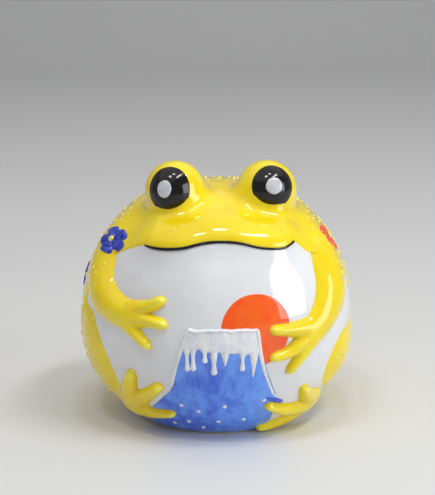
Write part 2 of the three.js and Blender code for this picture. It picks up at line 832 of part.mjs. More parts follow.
function makeEye({ mound, looks, glint, glintRadius }) {
  const centre = moundCentre(mound);
  const chart = new Chart(mound);
  const { outer, head, footSlant, touchSlant } = moundShape(mound);
  const foot = footSlant * BALL_RADIUS;
  const touch = touchSlant / footSlant;
  const rings = [
    ...MOUND_RINGS.map((share) => share * touch),
    ...ROUND_RINGS.map((share) => touch + (1 - touch) * share),
  ];
  const top = (u, v) => {
    const { radius, settled } = outer(Math.hypot(u, v) / BALL_RADIUS);
    return radius + settled * (coatRadius(chart.way(u, v)) - head);
  };
  const outline = roundOutline(MOUND_SEGMENTS, () => foot);
  const room = roundOutline(MOUND_SEGMENTS, () => foot + GAP);
  const whole = solidOf(rosette(chart, rings, outline, onSkin(chart, -BELOW_SKIN), top));
  const turn = lookingAlong(looks);
  const socket = eyeLens(GAP).applyQuaternion(turn).translate(centre.x, centre.y, centre.z);
  const tall = onSkin(chart, ABOVE_SKIN);
  const deep = onSkin(chart, -2 * BELOW_SKIN);
  const group = new THREE.Group();
  group.position.copy(centre);
  const face = new THREE.Group();
  face.position.copy(direction(looks).multiplyScalar(eyeFace().centre));
  group.add(face);
  return {
    mound: whole.subtract(grownBall).subtract(solidOf(socket)),
    cutter: solidOf(rosette(chart, [1], room, deep, tall)),
    group,
    face,
    turn,
    glint: glintDisc(glintRadius),
    glintTurn: glintTurn(looks, glint),
  };
}

const rightEye = makeEye(RIGHT_EYE);
const leftEye = makeEye(LEFT_EYE);

function headAndBack() {
  let coat = solidOf(lumpyBall(coatRows(), COAT_SEGMENTS, coatRadius));
  const cuts = [grownBall, bellyCutter(), belowHeight(COAT_HEM_Z), rightEye.cutter, leftEye.cutter];
  for (const cut of [...cuts, ...limbs.map((limb) => limb.cutter)]) coat = coat.subtract(cut);
  return coat;
}

// Mountain, snow and sun

const motifChart = new Chart(MOTIF_CENTRE);
const enamelTop = onSkin(motifChart, GAP + ENAMEL);
const enamelFloor = onSkin(motifChart, -BELOW_SKIN);
const motifDeep = onSkin(motifChart, -2 * BELOW_SKIN);
const motifTall = onSkin(motifChart, ABOVE_SKIN);

const summitRight = RIGHT_SLOPE[0];
const summitLeft = LEFT_SLOPE.at(-1);
const rightRidgeLine = RIGHT_SLOPE.slice(0, 3);
const leftRidgeLine = LEFT_SLOPE.slice(3);

function ridge(line, grow) {
  return enamelLine(line, RIDGE_RADIUS + grow, RIDGE_STEPS);
}

const mountainOutline = [
  ...smoothRow(motifChart, RIGHT_SLOPE, 3),
  ...smoothRow(motifChart, LEFT_SLOPE, 2),
];

// The snow: a field with a flat face along the summit, and its drips.
function snow({ grow = 0, deep, tall = 0 }) {
  const margin = THREE.MathUtils.radToDeg((RIDGE_RADIUS + GAP - grow) / BALL_RADIUS);
  const grown = THREE.MathUtils.radToDeg(grow / BALL_RADIUS);
  const from = summitRight[0] + margin;
  const to = summitLeft[0] - margin;
  const [lowest, highest] = [SNOW_FIELD_LOWEST - grown, MOUNTAIN_TOP + grown];
  const at = (i, j, extra) => {
    const across = from + ((to - from) * i) / (FIELD_COLUMNS - 1);
    const way = direction([across, lowest + ((highest - lowest) * j) / (FIELD_ROWS - 1)]);
    return way.clone().multiplyScalar(ballRadius(way) + extra).toArray();
  };
  const over = tall ? tall : GAP + ENAMEL + SNOW_FIELD_HEIGHT;
  const top = (i, j) => at(i, j, over);
  const floor = (i, j) => at(i, j, -deep);
  const field = solidOf(gridSolid(FIELD_COLUMNS, FIELD_ROWS, top, floor));
  const drips = DRIPS.map(([azimuth, elevation]) => {
    const stop = (height, width) => ({
      place: motifChart.flat(direction([azimuth, height])),
      width,
      height: DRIP_HEIGHT,
    });
    const path = [stop(DRIPS_START, DRIP_RADIUS), stop(elevation, DRIP_END_RADIUS)];
    return raisedPath(motifChart, path, { grow, rim: ENAMEL, across: FINGER_FACES, deep, tall });
  });
  return joined([field, ...drips]);
}

function snowCap() {
  const cap = snow({ deep: BELOW_SKIN })
    .subtract(grownBall)
    .subtract(ridge(rightRidgeLine, GAP))
    .subtract(ridge(leftRidgeLine, GAP));
  return mainBody(cap);
}

function mountain() {
  let solid = solidOf(rosette(motifChart, PAINT_RINGS, mountainOutline, enamelFloor, enamelTop));
  const snowCutter = snow({ grow: GAP, deep: 2 * BELOW_SKIN, tall: ABOVE_SKIN });
  const cuts = [grownBall, snowCutter, ridge(rightRidgeLine, GAP), ridge(leftRidgeLine, GAP)];
  for (const cut of [...cuts, rightFoot.cutter, leftFoot.cutter]) solid = solid.subtract(cut);
  return mainBody(solid.subtract(belowHeight(MOTIF_LOWEST_Z)));
}

function sun() {
  const chart = new Chart(SUN_CENTRE);
  const outline = roundOutline(SUN_SEGMENTS, () => SUN_RADIUS);
  const room = grownOutline(mountainOutline, GAP);
  const top = onSkin(chart, GAP + ENAMEL);
  return solidOf(rosette(chart, SUN_RINGS, outline, onSkin(chart, -BELOW_SKIN), top))
    .subtract(grownBall)
    .subtract(solidOf(rosette(motifChart, PAINT_RINGS, room, motifDeep, motifTall)))
    .subtract(ridge(leftRidgeLine, GAP))
    .subtract(leftArm.cutter);
}

// Raised dots and blossoms

// Radius of the outermost skin: the yellow layer, or a limb that stands higher.
function outerRadius(way) {
  const heights = limbs.map((limb) => limb.heightAt(way));
  return ballRadius(way) + Math.max(coatHeight(way), ...heights);
}

// A small dome whose underside follows radius(way).
function bead(place, radius, rise, under) {
  const chart = new Chart(place);
  const floor = (u, v) => under(chart.way(u, v));
  const top = (u, v) => {
    const share = Math.min(1, Math.hypot(u, v) / radius);
    return floor(u, v) + rise * (BEAD_EDGE + (1 - BEAD_EDGE) * Math.sqrt(1 - share * share));
  };
  return rosette(chart, BEAD_RINGS, roundOutline(BEAD_SEGMENTS, () => radius), floor, top);
}

function snowflake(place) {
  const under = (way) => ballRadius(way) + GAP + ENAMEL + GAP;
  return bead(place, SNOWFLAKE_RADIUS, SNOWFLAKE_HEIGHT, under);
}

function petalRadius(angle) {
  return PETAL_RADIUS * (1 - (PETAL_DIP * (1 + Math.cos(PETALS * angle))) / 2);
}

function blossom(place) {
  const chart = new Chart(place);
  const floor = (u, v) => outerRadius(chart.way(u, v)) + GAP;
  const top = (u, v) => {
    const share = Math.hypot(u, v) / PETAL_RADIUS;
    return floor(u, v) + PETAL_THICKNESS * (1 - PETAL_FALL * share * share);
  };
  return rosette(chart, [1], roundOutline(PETAL_FACES * PETALS, petalRadius), floor, top);
}

function blossomBead(place) {
  const under = (way) => outerRadius(way) + GAP + PETAL_THICKNESS + GAP;
  return bead(place, BEAD_RADIUS, BEAD_HEIGHT, under);
}

// Materials

function glaze(colour, roughness = 0.12) {
  return new THREE.MeshStandardMaterial({ color: colour, roughness, metalness: 0 });
}

const porcelain = glaze(0xe6e9f2);
const yellowGlaze = glaze(0xecd42a);
const blackGlaze = glaze(0x14100f);
const glintEnamel = glaze(0xc9d1da);
const blueEnamel = glaze(0x4f78dc, 0.2);
const snowEnamel = glaze(0xe9eef4, 0.2);
const sunEnamel = glaze(0xff5a14);
const blossomBlue = glaze(0x2638b8, 0.2);
const blossomRed = glaze(0xf2542e, 0.2);
const beadYellow = glaze(0xe8d65a, 0.2);

// Assembly

const frog = new THREE.Group();
const ball = new THREE.Group();
ball.position.z = BALL_CENTRE_Z;
frog.add(ball);

function place(parent, name, geometry, material) {
  const mesh = new THREE.Mesh(geometry, material);
  mesh.name = name;
  parent.add(mesh);
  return mesh;
}

place(ball, "body_casting", geometryOf(bodyCasting()), porcelain);
place(ball, "head_and_back", geometryOf(headAndBack()), yellowGlaze);

place(ball, "right_arm", geometryOf(rightArm.solid), yellowGlaze);
place(ball, "left_arm", geometryOf(leftArm.solid), yellowGlaze);
place(ball, "right_thigh", geometryOf(rightThigh.solid.subtract(rightFoot.cutter)), yellowGlaze);
place(ball, "left_thigh", geometryOf(leftThigh.solid.subtract(leftFoot.cutter)), yellowGlaze);
place(ball, "right_foot", geometryOf(rightFoot.solid), yellowGlaze);
place(ball, "left_foot", geometryOf(leftFoot.solid), yellowGlaze);

for (const [name, eye] of [
  ["right", rightEye],
  ["left", leftEye],
]) {
  place(ball, name + "_eye_mound", geometryOf(eye.mound), yellowGlaze);
  place(eye.group, name + "_eye", eyeLens(0), blackGlaze).quaternion.copy(eye.turn);
  place(eye.face, name + "_eye_glint", eye.glint, glintEnamel).quaternion.copy(eye.glintTurn);
  ball.add(eye.group);
}

const mouth = enamelLine(MOUTH_LINE, MOUTH_RADIUS, MOUTH_STEPS).subtract(grownBall);
place(ball, "mouth_line", geometryOf(mouth), blackGlaze);

place(ball, "mountain", geometryOf(mountain()), blueEnamel);
place(ball, "snow_cap", geometryOf(snowCap()), snowEnamel);
place(ball, "right_snow_ridge", geometryOf(ridge(rightRidgeLine, 0).subtract(grownBall)), snowEnamel);
place(ball, "left_snow_ridge", geometryOf(ridge(leftRidgeLine, 0).subtract(grownBall)), snowEnamel);
place(ball, "red_sun", geometryOf(sun()), sunEnamel);
SNOWFLAKES.forEach((at, i) => place(ball, "snow_dot_" + (i + 1), snowflake(at), snowEnamel));

for (const [colour, places, material] of [
  ["blue", BLUE_BLOSSOMS, blossomBlue],
  ["red", RED_BLOSSOMS, blossomRed],
]) {
  places.forEach((at, i) => {
    let petals = solidOf(blossom(at));
    for (const limb of limbs) petals = petals.subtract(limb.cover);
    place(ball, `${colour}_blossom_${i + 1}`, geometryOf(petals), material);
    place(ball, `${colour}_blossom_bead_${i + 1}`, blossomBead(at), beadYellow);
  });
}

export default frog;
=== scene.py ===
# The looks of a round glazed porcelain frog: a white cast ball with a yellow modelled head, back and limbs,
# black domed eyes, and thick enamel painting of a snowy mountain, a red sun, blossoms and dots.
#
# Shapes are worked out in millimetres round the ball's centre and turned into metres when a mesh is made.
# A place on the ball is [azimuth, elevation] in degrees: azimuth 0 is the front, -Y, and grows towards the
# frog's left, +X. Elevation is 0 at the ball's middle and 90 at the crown.
import math

import bpy
import numpy as np
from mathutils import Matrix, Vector


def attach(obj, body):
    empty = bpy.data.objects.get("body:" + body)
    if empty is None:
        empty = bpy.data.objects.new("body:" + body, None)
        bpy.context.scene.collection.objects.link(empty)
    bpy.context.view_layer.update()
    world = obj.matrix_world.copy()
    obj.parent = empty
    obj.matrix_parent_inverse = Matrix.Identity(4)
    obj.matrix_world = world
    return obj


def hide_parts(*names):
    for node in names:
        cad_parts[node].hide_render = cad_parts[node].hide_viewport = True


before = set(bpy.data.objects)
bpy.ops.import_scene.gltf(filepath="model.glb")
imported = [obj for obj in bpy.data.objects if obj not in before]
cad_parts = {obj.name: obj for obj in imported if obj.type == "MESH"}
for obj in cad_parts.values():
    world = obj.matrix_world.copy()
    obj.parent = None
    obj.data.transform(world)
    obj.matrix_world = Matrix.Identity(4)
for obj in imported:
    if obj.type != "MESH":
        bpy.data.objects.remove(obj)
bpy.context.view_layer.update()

MM = 0.001

# Ball. Sizes that name no unit are in millimetres.
BALL_RADIUS = 44.4
FOOT_RADIUS = 27.3  # of the flat round that the ball stands on
BALL_CENTRE_Z = math.sqrt(BALL_RADIUS**2 - FOOT_RADIUS**2)
CROWN_DROP = 1.9
CROWN_SPAN = (50, 84)  # degrees of elevation over which the crown flattens
WALL = 3.0
FOOT_WALL = 3.4
FOOT_EDGE = 1.3  # radius of the foot's rounded edge
VENT_RADIUS = 5.0
VENT_BACK = 11.0  # behind the foot's middle
VENT_EDGE = ((0, 0.4), (0.15, 0.1), (0.5, 0))  # its lower edge: [how much wider, height over the foot]
CAST_LUMP = 0.06  # height of the slight lumps of a hand-finished cast
CAST_LUMP_SIZE = 17
CAST_LUMP_FADE = 6  # degrees over the foot's edge in which they set in
CASTING_COLUMNS = 320
CASTING_ROWS = {"inside": 36, "floor": 8, "vent": 4, "foot": 14, "edge": 7, "outside": 220}

# Muzzle: a swelling along the mouth line, part yellow above it and part white below
MOUTH = np.array([
    [-39.6, 35.9], [-31.5, 35.1], [-20, 35.9], [-9.1, 38.5], [-0.3, 39.2],
    [8.7, 38.4], [19, 35.9], [29, 34.9], [34.1, 35.9], [38.2, 37.2],
])
MUZZLE_RISE = 2.7
MUZZLE_CREST = 3.2  # above the mouth line
MUZZLE_BELOW = 5.6  # below its crest it has this half height
MUZZLE_ABOVE = 9.0  # and above its crest this one
MUZZLE_SIDES = (34, 56)  # degrees of azimuth over which it fades
BROW_HOLLOW = 0.25
BROW_ABOVE_MOUTH = 13.5
BROW_HALF_HEIGHT = 4.5
MOUTH_HALF_WIDTHS = ((0, 1, 3, 5, 7, 9), (0.24, 0.42, 0.42, 0.34, 0.3, 0.34))  # at which of its places

# Yellow layer
COAT = 0.35
COAT_EDGE = ((-2, 0, 0.3, 0.9), (-1.2, 0, 0.6 * COAT, COAT))  # [distances inside], [heights there]
COATED = 0.1  # height from which it counts as coated
COAT_WAVER = 0.12  # how far its edge wavers
COAT_WAVER_SIZE = 5
HEM_ELEVATION = -44.3
BELLY_CENTRE = (4, -10)
BELLY_EDGE = np.array([
    [46, 32.5], [62, 23], [82, 13], [91, 3], [92, -16], [84, -36], [70, -58], [0, -62],
    [-66, -58], [-80, -36], [-79, -16], [-75.5, 2], [-72, 16], [-62, 28], [-50, 34],
])

# Yellow grid: spans of [from, to, how many] degrees, fine in front and coarse at the back
SKIN_AZIMUTHS = ((-104, 104, 520), (104, 256, 84))
SKIN_ELEVATIONS = ((-52, 45, 243), (45, 64, 44), (64, 90, 36))
SKIN_UNDER = -0.25  # it is built where the yellow is higher than this over the white
POOL_AND_SHADE_DEPTH = 0.5  # under the blurred skin, where pooled glaze and painted shade are deepest
POOL_AND_SHADE_BLUR = 10  # times that the skin is blurred for this

# Limbs, each with a place near its middle and its paths. A path is a row of [azimuth, elevation, half
# width, height] that a limb or a finger runs along. The half width is in degrees of the ball and the height
# is a share of the limb height.
LIMB_HEIGHT = 3.4
LIMB_SPREAD = 1.07  # the drawn half widths grow by this, because a limb's lowest edge lies under the skin
LIMB_ROUNDNESS = 0.75
LIMB_BLEND = 1.0  # between the paths of a limb
SHOULDER_BLEND = 2.6  # between a limb and the back
HEM_BLEND = 0.3  # where a limb leaves the yellow
LEAST_BLEND = 0.2
RIM = 0.8  # how far a limb's edge lies under the skin
DEEP = -4.0  # height of a limb's field away from the limb
HEAD_FIRST = 0.25  # a limb has its own piece where it stands this much over the back
BLUNT = 5  # half width at its end from which a path isn't drawn out to a tip
TIP_FULL = 0.35  # share of the half width, before the end, where a finger is still at full width
TIP_REACH = 0.2  # share of the half width by which its tip goes on beyond the end
TIP_SIZE = (0.8, 0.9)  # share of the half width and height there
LIMBS = {
    "right_arm": ((-48, 14), [
        [[-74, 47, 8.4, -0.26], [-71, 36, 9.8, 0.6], [-67, 25, 9.5, 0.88], [-59.5, 14.2, 8.8, 1],
         [-49, 9.4, 7, 0.95], [-41, 7.6, 6.6, 0.78]],
        [[-39, 10, 4.4, 0.7], [-31.5, 12.6, 3, 0.65], [-26.2, 15.2, 2.7, 0.65]],
        [[-38.5, 7.4, 4.6, 0.7], [-31, 7.1, 3.1, 0.65], [-24.8, 6.3, 2.7, 0.65]],
        [[-41.5, 5.5, 4.9, 0.7], [-35.5, 0.2, 3, 0.65], [-31.4, -2.8, 2.5, 0.62]],
    ]),
    "left_arm": ((44, 10), [
        [[64, 46, 9.5, -0.26], [62.3, 33, 10.6, 0.6], [58.5, 25, 11, 0.88], [55, 15, 10.5, 1],
         [47.5, 6.6, 8.1, 0.95], [39.5, 0.2, 6.7, 0.78]],
        [[38.5, 2, 5.2, 0.7], [28, 3.1, 3.2, 0.65], [20.9, 3.8, 2.6, 0.65]],
        [[37, -1, 5.2, 0.7], [28, -5.8, 3.2, 0.65], [21.2, -7.4, 2.6, 0.65]],
        [[38, -2.5, 5.4, 0.7], [33, -9, 3.2, 0.65], [29, -13.8, 2.5, 0.62]],
    ]),
    "right_thigh": ((-74, -15), [
        [[-73, -6, 12.5, 0.5], [-70, -17, 14.5, 0.58], [-67, -27, 13, 0.5]],
        [[-71, -16, 14.5, 0.58], [-84, -13, 13.5, 0.27]],
    ]),
    "left_thigh": ((74, -15), [[[68.5, -18, 14.8, 0.62], [82, -15, 13.5, 0.38]]]),
    "right_foot": ((-42, -30), [
        [[-51.5, -36, 7.4, 0.7], [-46, -25.5, 4.6, 0.7], [-41.6, -18, 3, 0.68]],
        [[-46, -32.5, 5.4, 0.68], [-36.8, -27.6, 3.5, 0.68], [-28.6, -21.6, 2.6, 0.68]],
        [[-47.5, -38, 5.9, 0.65], [-36, -37.8, 3.5, 0.62], [-25.8, -36, 2.2, 0.6]],
    ]),
    "left_foot": ((42, -36), [
        [[55, -36.5, 7, 0.7], [46.5, -31.5, 4.1, 0.7], [40.3, -25.8, 2.5, 0.68]],
        [[52, -38, 5.9, 0.68], [36.5, -37.2, 3.9, 0.68], [23.2, -31.8, 2.5, 0.68]],
        [[52, -40.5, 6.5, 0.65], [36, -46.5, 3.6, 0.62], [24.5, -47.6, 2.1, 0.6]],
    ]),
}
LIMB_REACH = 47  # from a limb's centre to beyond the end of its longest path
TOES_CUT = (0.6, 1.6)  # height above the table over which the toes end
TOES_DROP = 5  # how far they go under the skin in doing so

# Eye mounds and eyes
MOUND_RADIUS = 9.59
MOUND_STANDS_OUT = 2.69
MOUND_BLEND = 5.0  # how far from their meeting the mound and the head run together
MOUND_REACH = 34  # degrees from a mound's axis that its blend can reach
EYE_RADIUS = 6.33
EYE_BULGE = 1.0
EYE_LIP = 0.45  # radius of the black eye's rounded rim
EYE_LIP_INSET = 0.25
EYE_BACK = 1.2  # how far the eye's back lies under its mound's rim
EYE_BACK_INSET = 0.9
EYE_WOBBLE = 0.012  # how far its outline is from round
GLINT_THICKNESS = 0.16
GLINT_SUNK = 0.6
GLINT_WOBBLE = 0.03
STEPS_INWARD = 70  # to find the skin round a mound
STEP_SHARE = 0.8  # of the distance that is left

# Each eye: the place of its mound, the way it looks, how much taller than wide it is, and its highlight
EYES = {
    "right": {"mound": (-43, 63.9), "looks": (-15, 11.8), "tall": 1.1, "glint": (-20.5, 12.2),
              "glint_radius": 2.35, "glint_tall": 1.2},
    "left": {"mound": (47.3, 63.5), "looks": (9.5, 17.6), "tall": 1.03, "glint": (9.1, 16.5),
             "glint_radius": 2.7, "glint_tall": 1.02},
}

# Painting on the belly
PAINT = 0.2  # how far strokes and dots stand over the white, on the wash
WASH_EDGE = (0, 0.12, 0.6)  # distances inside a wash's edge over which it rises to its thickness
STROKE_HEIGHT = 0.6  # share of a stroke's half width
STROKE_END = 0.02  # share of a stroke's length in which each end is drawn in
STROKE_SUNK = 0.12
STROKE_UNDER = 0.3
MOUNTAIN_THICKNESS = 0.24
MOUNTAIN_TOP = 4.8
MOUNTAIN_LOWEST = -49.8
MOUNTAIN_GRID = (110, 90)
CREST_OVERHANG = 0.7  # degrees by which the snow's crest stands over the wash
RIGHT_SLOPE = np.array([
    [-13.8, MOUNTAIN_TOP], [-17.6, -6], [-22.4, -21], [-31, -29.5], [-46, -42], [-50, -52],
])
LEFT_SLOPE = np.array([
    [13.4, MOUNTAIN_TOP], [14.7, -4], [16.6, -11.4], [19.6, -18.6], [23.6, -25.6], [29.3, -30.4],
    [28, -36], [30, -52],
])
RIDGE_HALF_WIDTHS = (0.8, 0.45)  # of the snow along each slope, at its top and its foot
SLOPE_LINE_OFFSET = 0.9  # degrees from the left slope to the thin dark line on each side of it
SLOPE_LINE_HALF_WIDTHS = np.array([0.1, 0.16, 0.18, 0.14])
SNOW_LOWEST = (-3.2, -5.6)  # elevation of the snow's lower edge at its right and its left end
SNOW_AZIMUTHS = (-17.5, 18.5, 230)  # of its grid: from, to, how many
SNOW_ELEVATIONS = (-18.5, 6.5, 170)
SNOW_BASE = 0.15  # how far the snow's height 0 lies over the white
SNOW_FIELD = ((-1, 0, 0.7), (-1, 0, 0.4))  # [distances inside its edge], [heights there]
SNOW_DEPTHS = (-0.6, -0.3)  # lowest height, and height from which it shows
SNOW_BLEND = 0.25
SNOW_BEADS = 14  # along the crest
SNOW_LEFT_EDGE = [[13.7, 2.2, 0.55, 0.65], [14.3, -1.5, 0.45, 0.5], [15, -5, 0.4, 0.4]]  # as DRIP_SHAPES
DRIP_START = 1.4  # degrees over the snow's lower edge
DRIPS = [  # azimuth, elevation of the end, shape
    (-14.4, -11.2, "drop"), (-12, -11, "drop"), (-7.3, -7.4, "drop"), (-3.7, -12.5, "pestle"),
    (0.7, -9.4, "point"), (7.6, -11.1, "drop"), (12.2, -14.8, "point"),
]
DRIP_SHAPES = {  # rows of [share of the way down, half width, height]
    "drop": [[0, 1.7, 0.4], [0.35, 0.8, 0.5], [0.65, 0.68, 0.65], [1, 0.98, 0.85]],
    "pestle": [[0, 1.2, 0.4], [0.3, 1.15, 0.75], [0.65, 0.78, 0.65], [1, 1.12, 0.9]],
    "point": [[0, 1.9, 0.4], [0.5, 1.0, 0.55], [1, 0.35, 0.4]],
}
SLOPE_TIP = np.array([  # a brush stroke across the foot of the left slope: [azimuth, elevation, half width]
    [20, -26.5, 0.5], [24, -28.4, 1.0], [28, -30.2, 0.9], [30.2, -30.8, 0.5],
])
SUN_CENTRE = (13.4, 4.5)
SUN_RADIUS = 11.15
SUN_THICKNESS = 0.16
SUN_SAG = 0.07  # how much further it reaches down than up
SNOWFLAKE_RADIUS = 0.75
SNOWFLAKE_RISE = 0.6
SNOWFLAKES = np.array([
    [-19.2, -30.1], [-11.4, -33.2], [0.9, -30], [11.5, -39.3], [19.2, -28], [-1.8, -40.2],
    [-17.8, -41], [-27, -43.6], [-10.5, -45.5],
])

# Blossoms: [azimuth, elevation, how much wider, how much taller than the plain one]
PETAL_RADIUS = 5.2
PETAL_DIP = 0.24
PETALS = 5
PETAL_THICKNESS = 0.7
PETAL_SUNK = 0.12
BEAD_RADIUS = 1.15
BEAD_RISE = 0.9
BLOSSOMS = {
    "blue": [(-64, 35, 1.2, 0.88), (-98, 13, 1, 1), (-98, -6, 1, 1), (-138, 24, 1, 1)],
    "red": [(70, 34.5, 1, 0.88), (108, 8, 1, 1), (142, 26, 1, 1), (128, -14, 1, 1)],
}

# Dots of yellow slip
DOT_SPACING = 2.6  # least distance between two
DOT_TRIES = 4200
DOT_RADII = (0.46, 0.66)
DOT_RISE = 0.5
DOT_LOWEST = -40
DOT_CHEEK = (5, 21, 36)  # least height above the mouth, azimuth and elevation of a cheek
DOT_CROWN = 66  # elevation from which they cover the whole head
DOT_FLANK = 58  # azimuth from which they cover everything
DOT_CROWDING = (28, 66)  # degrees of azimuth over which they get denser
DOT_SPARSE = 0.24  # share of the tries that is kept where they are sparse
DOT_EYE_CLEARANCE = 20  # degrees
DOT_BLOSSOM_CLEARANCE = 1.2  # times the blossom
DOME_SUNK = 0.15


# Directions, charts and small curves

def smoothstep(x, low, high):
    t = np.clip((x - low) / (high - low), 0, 1)
    return t * t * (3 - 2 * t)


def soft_max(a, b, reach):
    """The larger of a and b, raised by up to a quarter of `reach` where they are nearly equal."""
    near = np.maximum(reach - np.abs(a - b), 0)
    return np.maximum(a, b) + near * near / (4 * reach)


def soft_min(a, b, reach):
    return -soft_max(-a, -b, reach)


def arc(degrees):
    """Length along the ball's skin."""
    return np.radians(degrees) * BALL_RADIUS


def full_turn(count):
    """Angles all the way round, without the last one, which is the first again."""
    return np.linspace(0, 2 * math.pi, count, endpoint=False)


def unit(vectors):
    return vectors / np.maximum(np.linalg.norm(vectors, axis=-1, keepdims=True), 1e-12)


def direction(azimuth, elevation):
    a, e = np.broadcast_arrays(np.radians(azimuth), np.radians(elevation))
    return np.stack([np.sin(a) * np.cos(e), -np.cos(a) * np.cos(e), np.sin(e)], -1)


def azimuth_of(way):
    return np.degrees(np.arctan2(way[..., 0], -way[..., 1]))


def elevation_of(way):
    return np.degrees(np.arcsin(np.clip(way[..., 2], -1, 1)))


def chart_axes(place):
    a = math.radians(place[0])
    out = direction(*place)
    east = np.array([math.cos(a), math.sin(a), 0])
    return out, east, np.cross(out, east)


def to_flat(way, place):
    """Flat millimetres round a place: the angle from it times the ball's radius, along its own bearing."""
    out, east, north = chart_axes(place)
    x, y = way @ east, way @ north
    side = np.maximum(np.hypot(x, y), 1e-9)
    stretch = BALL_RADIUS * np.arctan2(side, way @ out) / side
    return np.stack([x * stretch, y * stretch], -1)


def to_way(flat, place):
    """The direction that to_flat maps to these flat millimetres."""
    out, east, north = chart_axes(place)
    length = np.maximum(np.hypot(flat[..., 0], flat[..., 1]), 1e-9)[..., None]
    angle = length / BALL_RADIUS
    across = (flat[..., :1] * east + flat[..., 1:] * north) / length
    return np.cos(angle) * out + np.sin(angle) * across


def smooth_row(stops, per_span):
    """Points on a Catmull-Rom curve: each span is the cubic set by its two ends and their neighbours."""
    stops = np.asarray(stops, float)
    p = np.vstack([2 * stops[0] - stops[1], stops, 2 * stops[-1] - stops[-2]])
    a, b, c, d = p[:-3], p[1:-2], p[2:-1], p[3:]
    t = np.linspace(0, 1, per_span, endpoint=False)[:, None, None]
    rows = b + 0.5 * ((c - a) * t + (2 * a - 5 * b + 4 * c - d) * t**2 + (3 * b - a - 3 * c + d) * t**3)
    return np.vstack([rows.transpose(1, 0, 2).reshape(-1, stops.shape[1]), stops[-1]])


def lumps(points, size, seed):
    """Soft lumps about `size` apart, mostly between -1 and 1: sine waves in random directions, summed."""
    waves = 11
    rng = np.random.default_rng(seed)
    ways = unit(rng.normal(size=(waves, 3)))
    phases = rng.uniform(0, 2 * math.pi, waves)
    return np.sin(points @ ways.T * (2 * math.pi / size) + phases).sum(-1) / math.sqrt(waves)


def raised_run(here, spots, widths, heights, roundness, sunk):
    """Height of a run along a row of spots. Across it the height is
    (height + sunk) * (1 - (distance / half width)^2)^roundness - sunk, so that it crosses 0 at a slope, and
    it goes on down outside the half width, at its own steepness and not without end."""
    steepness, end = 1.5, -3
    span = np.diff(spots, axis=0)
    from_start = here[..., None, :] - spots[:-1]
    share = np.clip((from_start * span).sum(-1) / np.maximum((span**2).sum(-1), 1e-9), 0, 1)
    off = from_start - share[..., None] * span
    width = widths[:-1] + np.diff(widths) * share
    full = heights[:-1] + np.diff(heights) * share + sunk
    base = 1 - (off**2).sum(-1) / width**2
    outside = steepness * np.maximum(base, end)
    return np.where(base > 0, full * np.maximum(base, 0) ** roundness, outside).max(-1) - sunk


def outline_distance(here, outline):
    """Distance from a closed flat outline, above 0 outside it and below 0 inside."""
    nearest = np.full(here.shape[:-1], np.inf)
    inside = np.zeros(here.shape[:-1], bool)
    for a, b in zip(outline, np.roll(outline, -1, axis=0)):
        span = b - a
        share = np.clip(((here - a) @ span) / (span @ span), 0, 1)
        off = here - a - share[..., None] * span
        nearest = np.minimum(nearest, (off**2).sum(-1))
        crosses = (a[1] > here[..., 1]) != (b[1] > here[..., 1])
        if a[1] != b[1]:
            edge = a[0] + (here[..., 1] - a[1]) * span[0] / span[1]
            inside ^= crosses & (here[..., 0] < edge)
    return np.where(inside, -1, 1) * np.sqrt(nearest)


# Skins of the frog, as distances from the ball's centre

def ball_radius(way):
    return BALL_RADIUS - CROWN_DROP * smoothstep(elevation_of(way), *CROWN_SPAN)


def above_mouth(way):
    line = smooth_row(MOUTH, per_span=6)
    rise = np.interp(azimuth_of(way), line[:, 0], line[:, 1])
    return arc(elevation_of(way) - rise)


def muzzle(way):
    """Swelling along the mouth: a bell over the height above it, steeper below its crest than over it,
    less a smaller bell for the hollow under the brow, both fading towards the sides."""
    above = above_mouth(way)
    side = 1 - smoothstep(np.abs(azimuth_of(way)), *MUZZLE_SIDES)
    fall = np.where(above < MUZZLE_CREST, MUZZLE_BELOW, MUZZLE_ABOVE)
    swelling = MUZZLE_RISE * np.exp(-(((above - MUZZLE_CREST) / fall) ** 2))
    hollow = BROW_HOLLOW * np.exp(-(((above - BROW_ABOVE_MOUTH) / BROW_HALF_HEIGHT) ** 2))
    return side * (swelling - hollow)


def white_radius(way):
    """The white skin: the ball, its muzzle and the slight lumps of a hand-finished cast."""
    return ball_radius(way) + muzzle(way) + CAST_LUMP * lumps(way * BALL_RADIUS, CAST_LUMP_SIZE, seed=3)


def on_coat(way):
    return ball_radius(way) + muzzle(way) + COAT


def on_paint(way):
    return white_radius(way) + PAINT


def coat_height(way):
    """The yellow layer: its thickness, running out over its painted edge and under the white beyond it."""
    outline = smooth_row(np.vstack([MOUTH, BELLY_EDGE, MOUTH[:1]]), per_span=6)[:-1]
    flat_outline = to_flat(direction(*outline.T), BELLY_CENTRE)
    off = outline_distance(to_flat(way, BELLY_CENTRE), flat_outline)
    over_hem = arc(elevation_of(way) - HEM_ELEVATION)
    waver = COAT_WAVER * lumps(way * BALL_RADIUS, COAT_WAVER_SIZE, seed=5)
    return np.interp(np.minimum(off, over_hem) + waver, *COAT_EDGE)


def slim_end(path):
    """A finger's or toe's path with its end drawn out: full width a little sooner, then a slimmer stop."""
    *stops, last = np.array(path, float)
    if last[2] > BLUNT:
        return np.array(path, float)
    step = last[2] * unit(last[:2] - stops[-1][:2])
    full = np.concatenate([last[:2] - TIP_FULL * step, last[2:]])
    tip = np.concatenate([last[:2] + TIP_REACH * step, last[2:] * TIP_SIZE])
    return np.vstack([stops, full, tip])


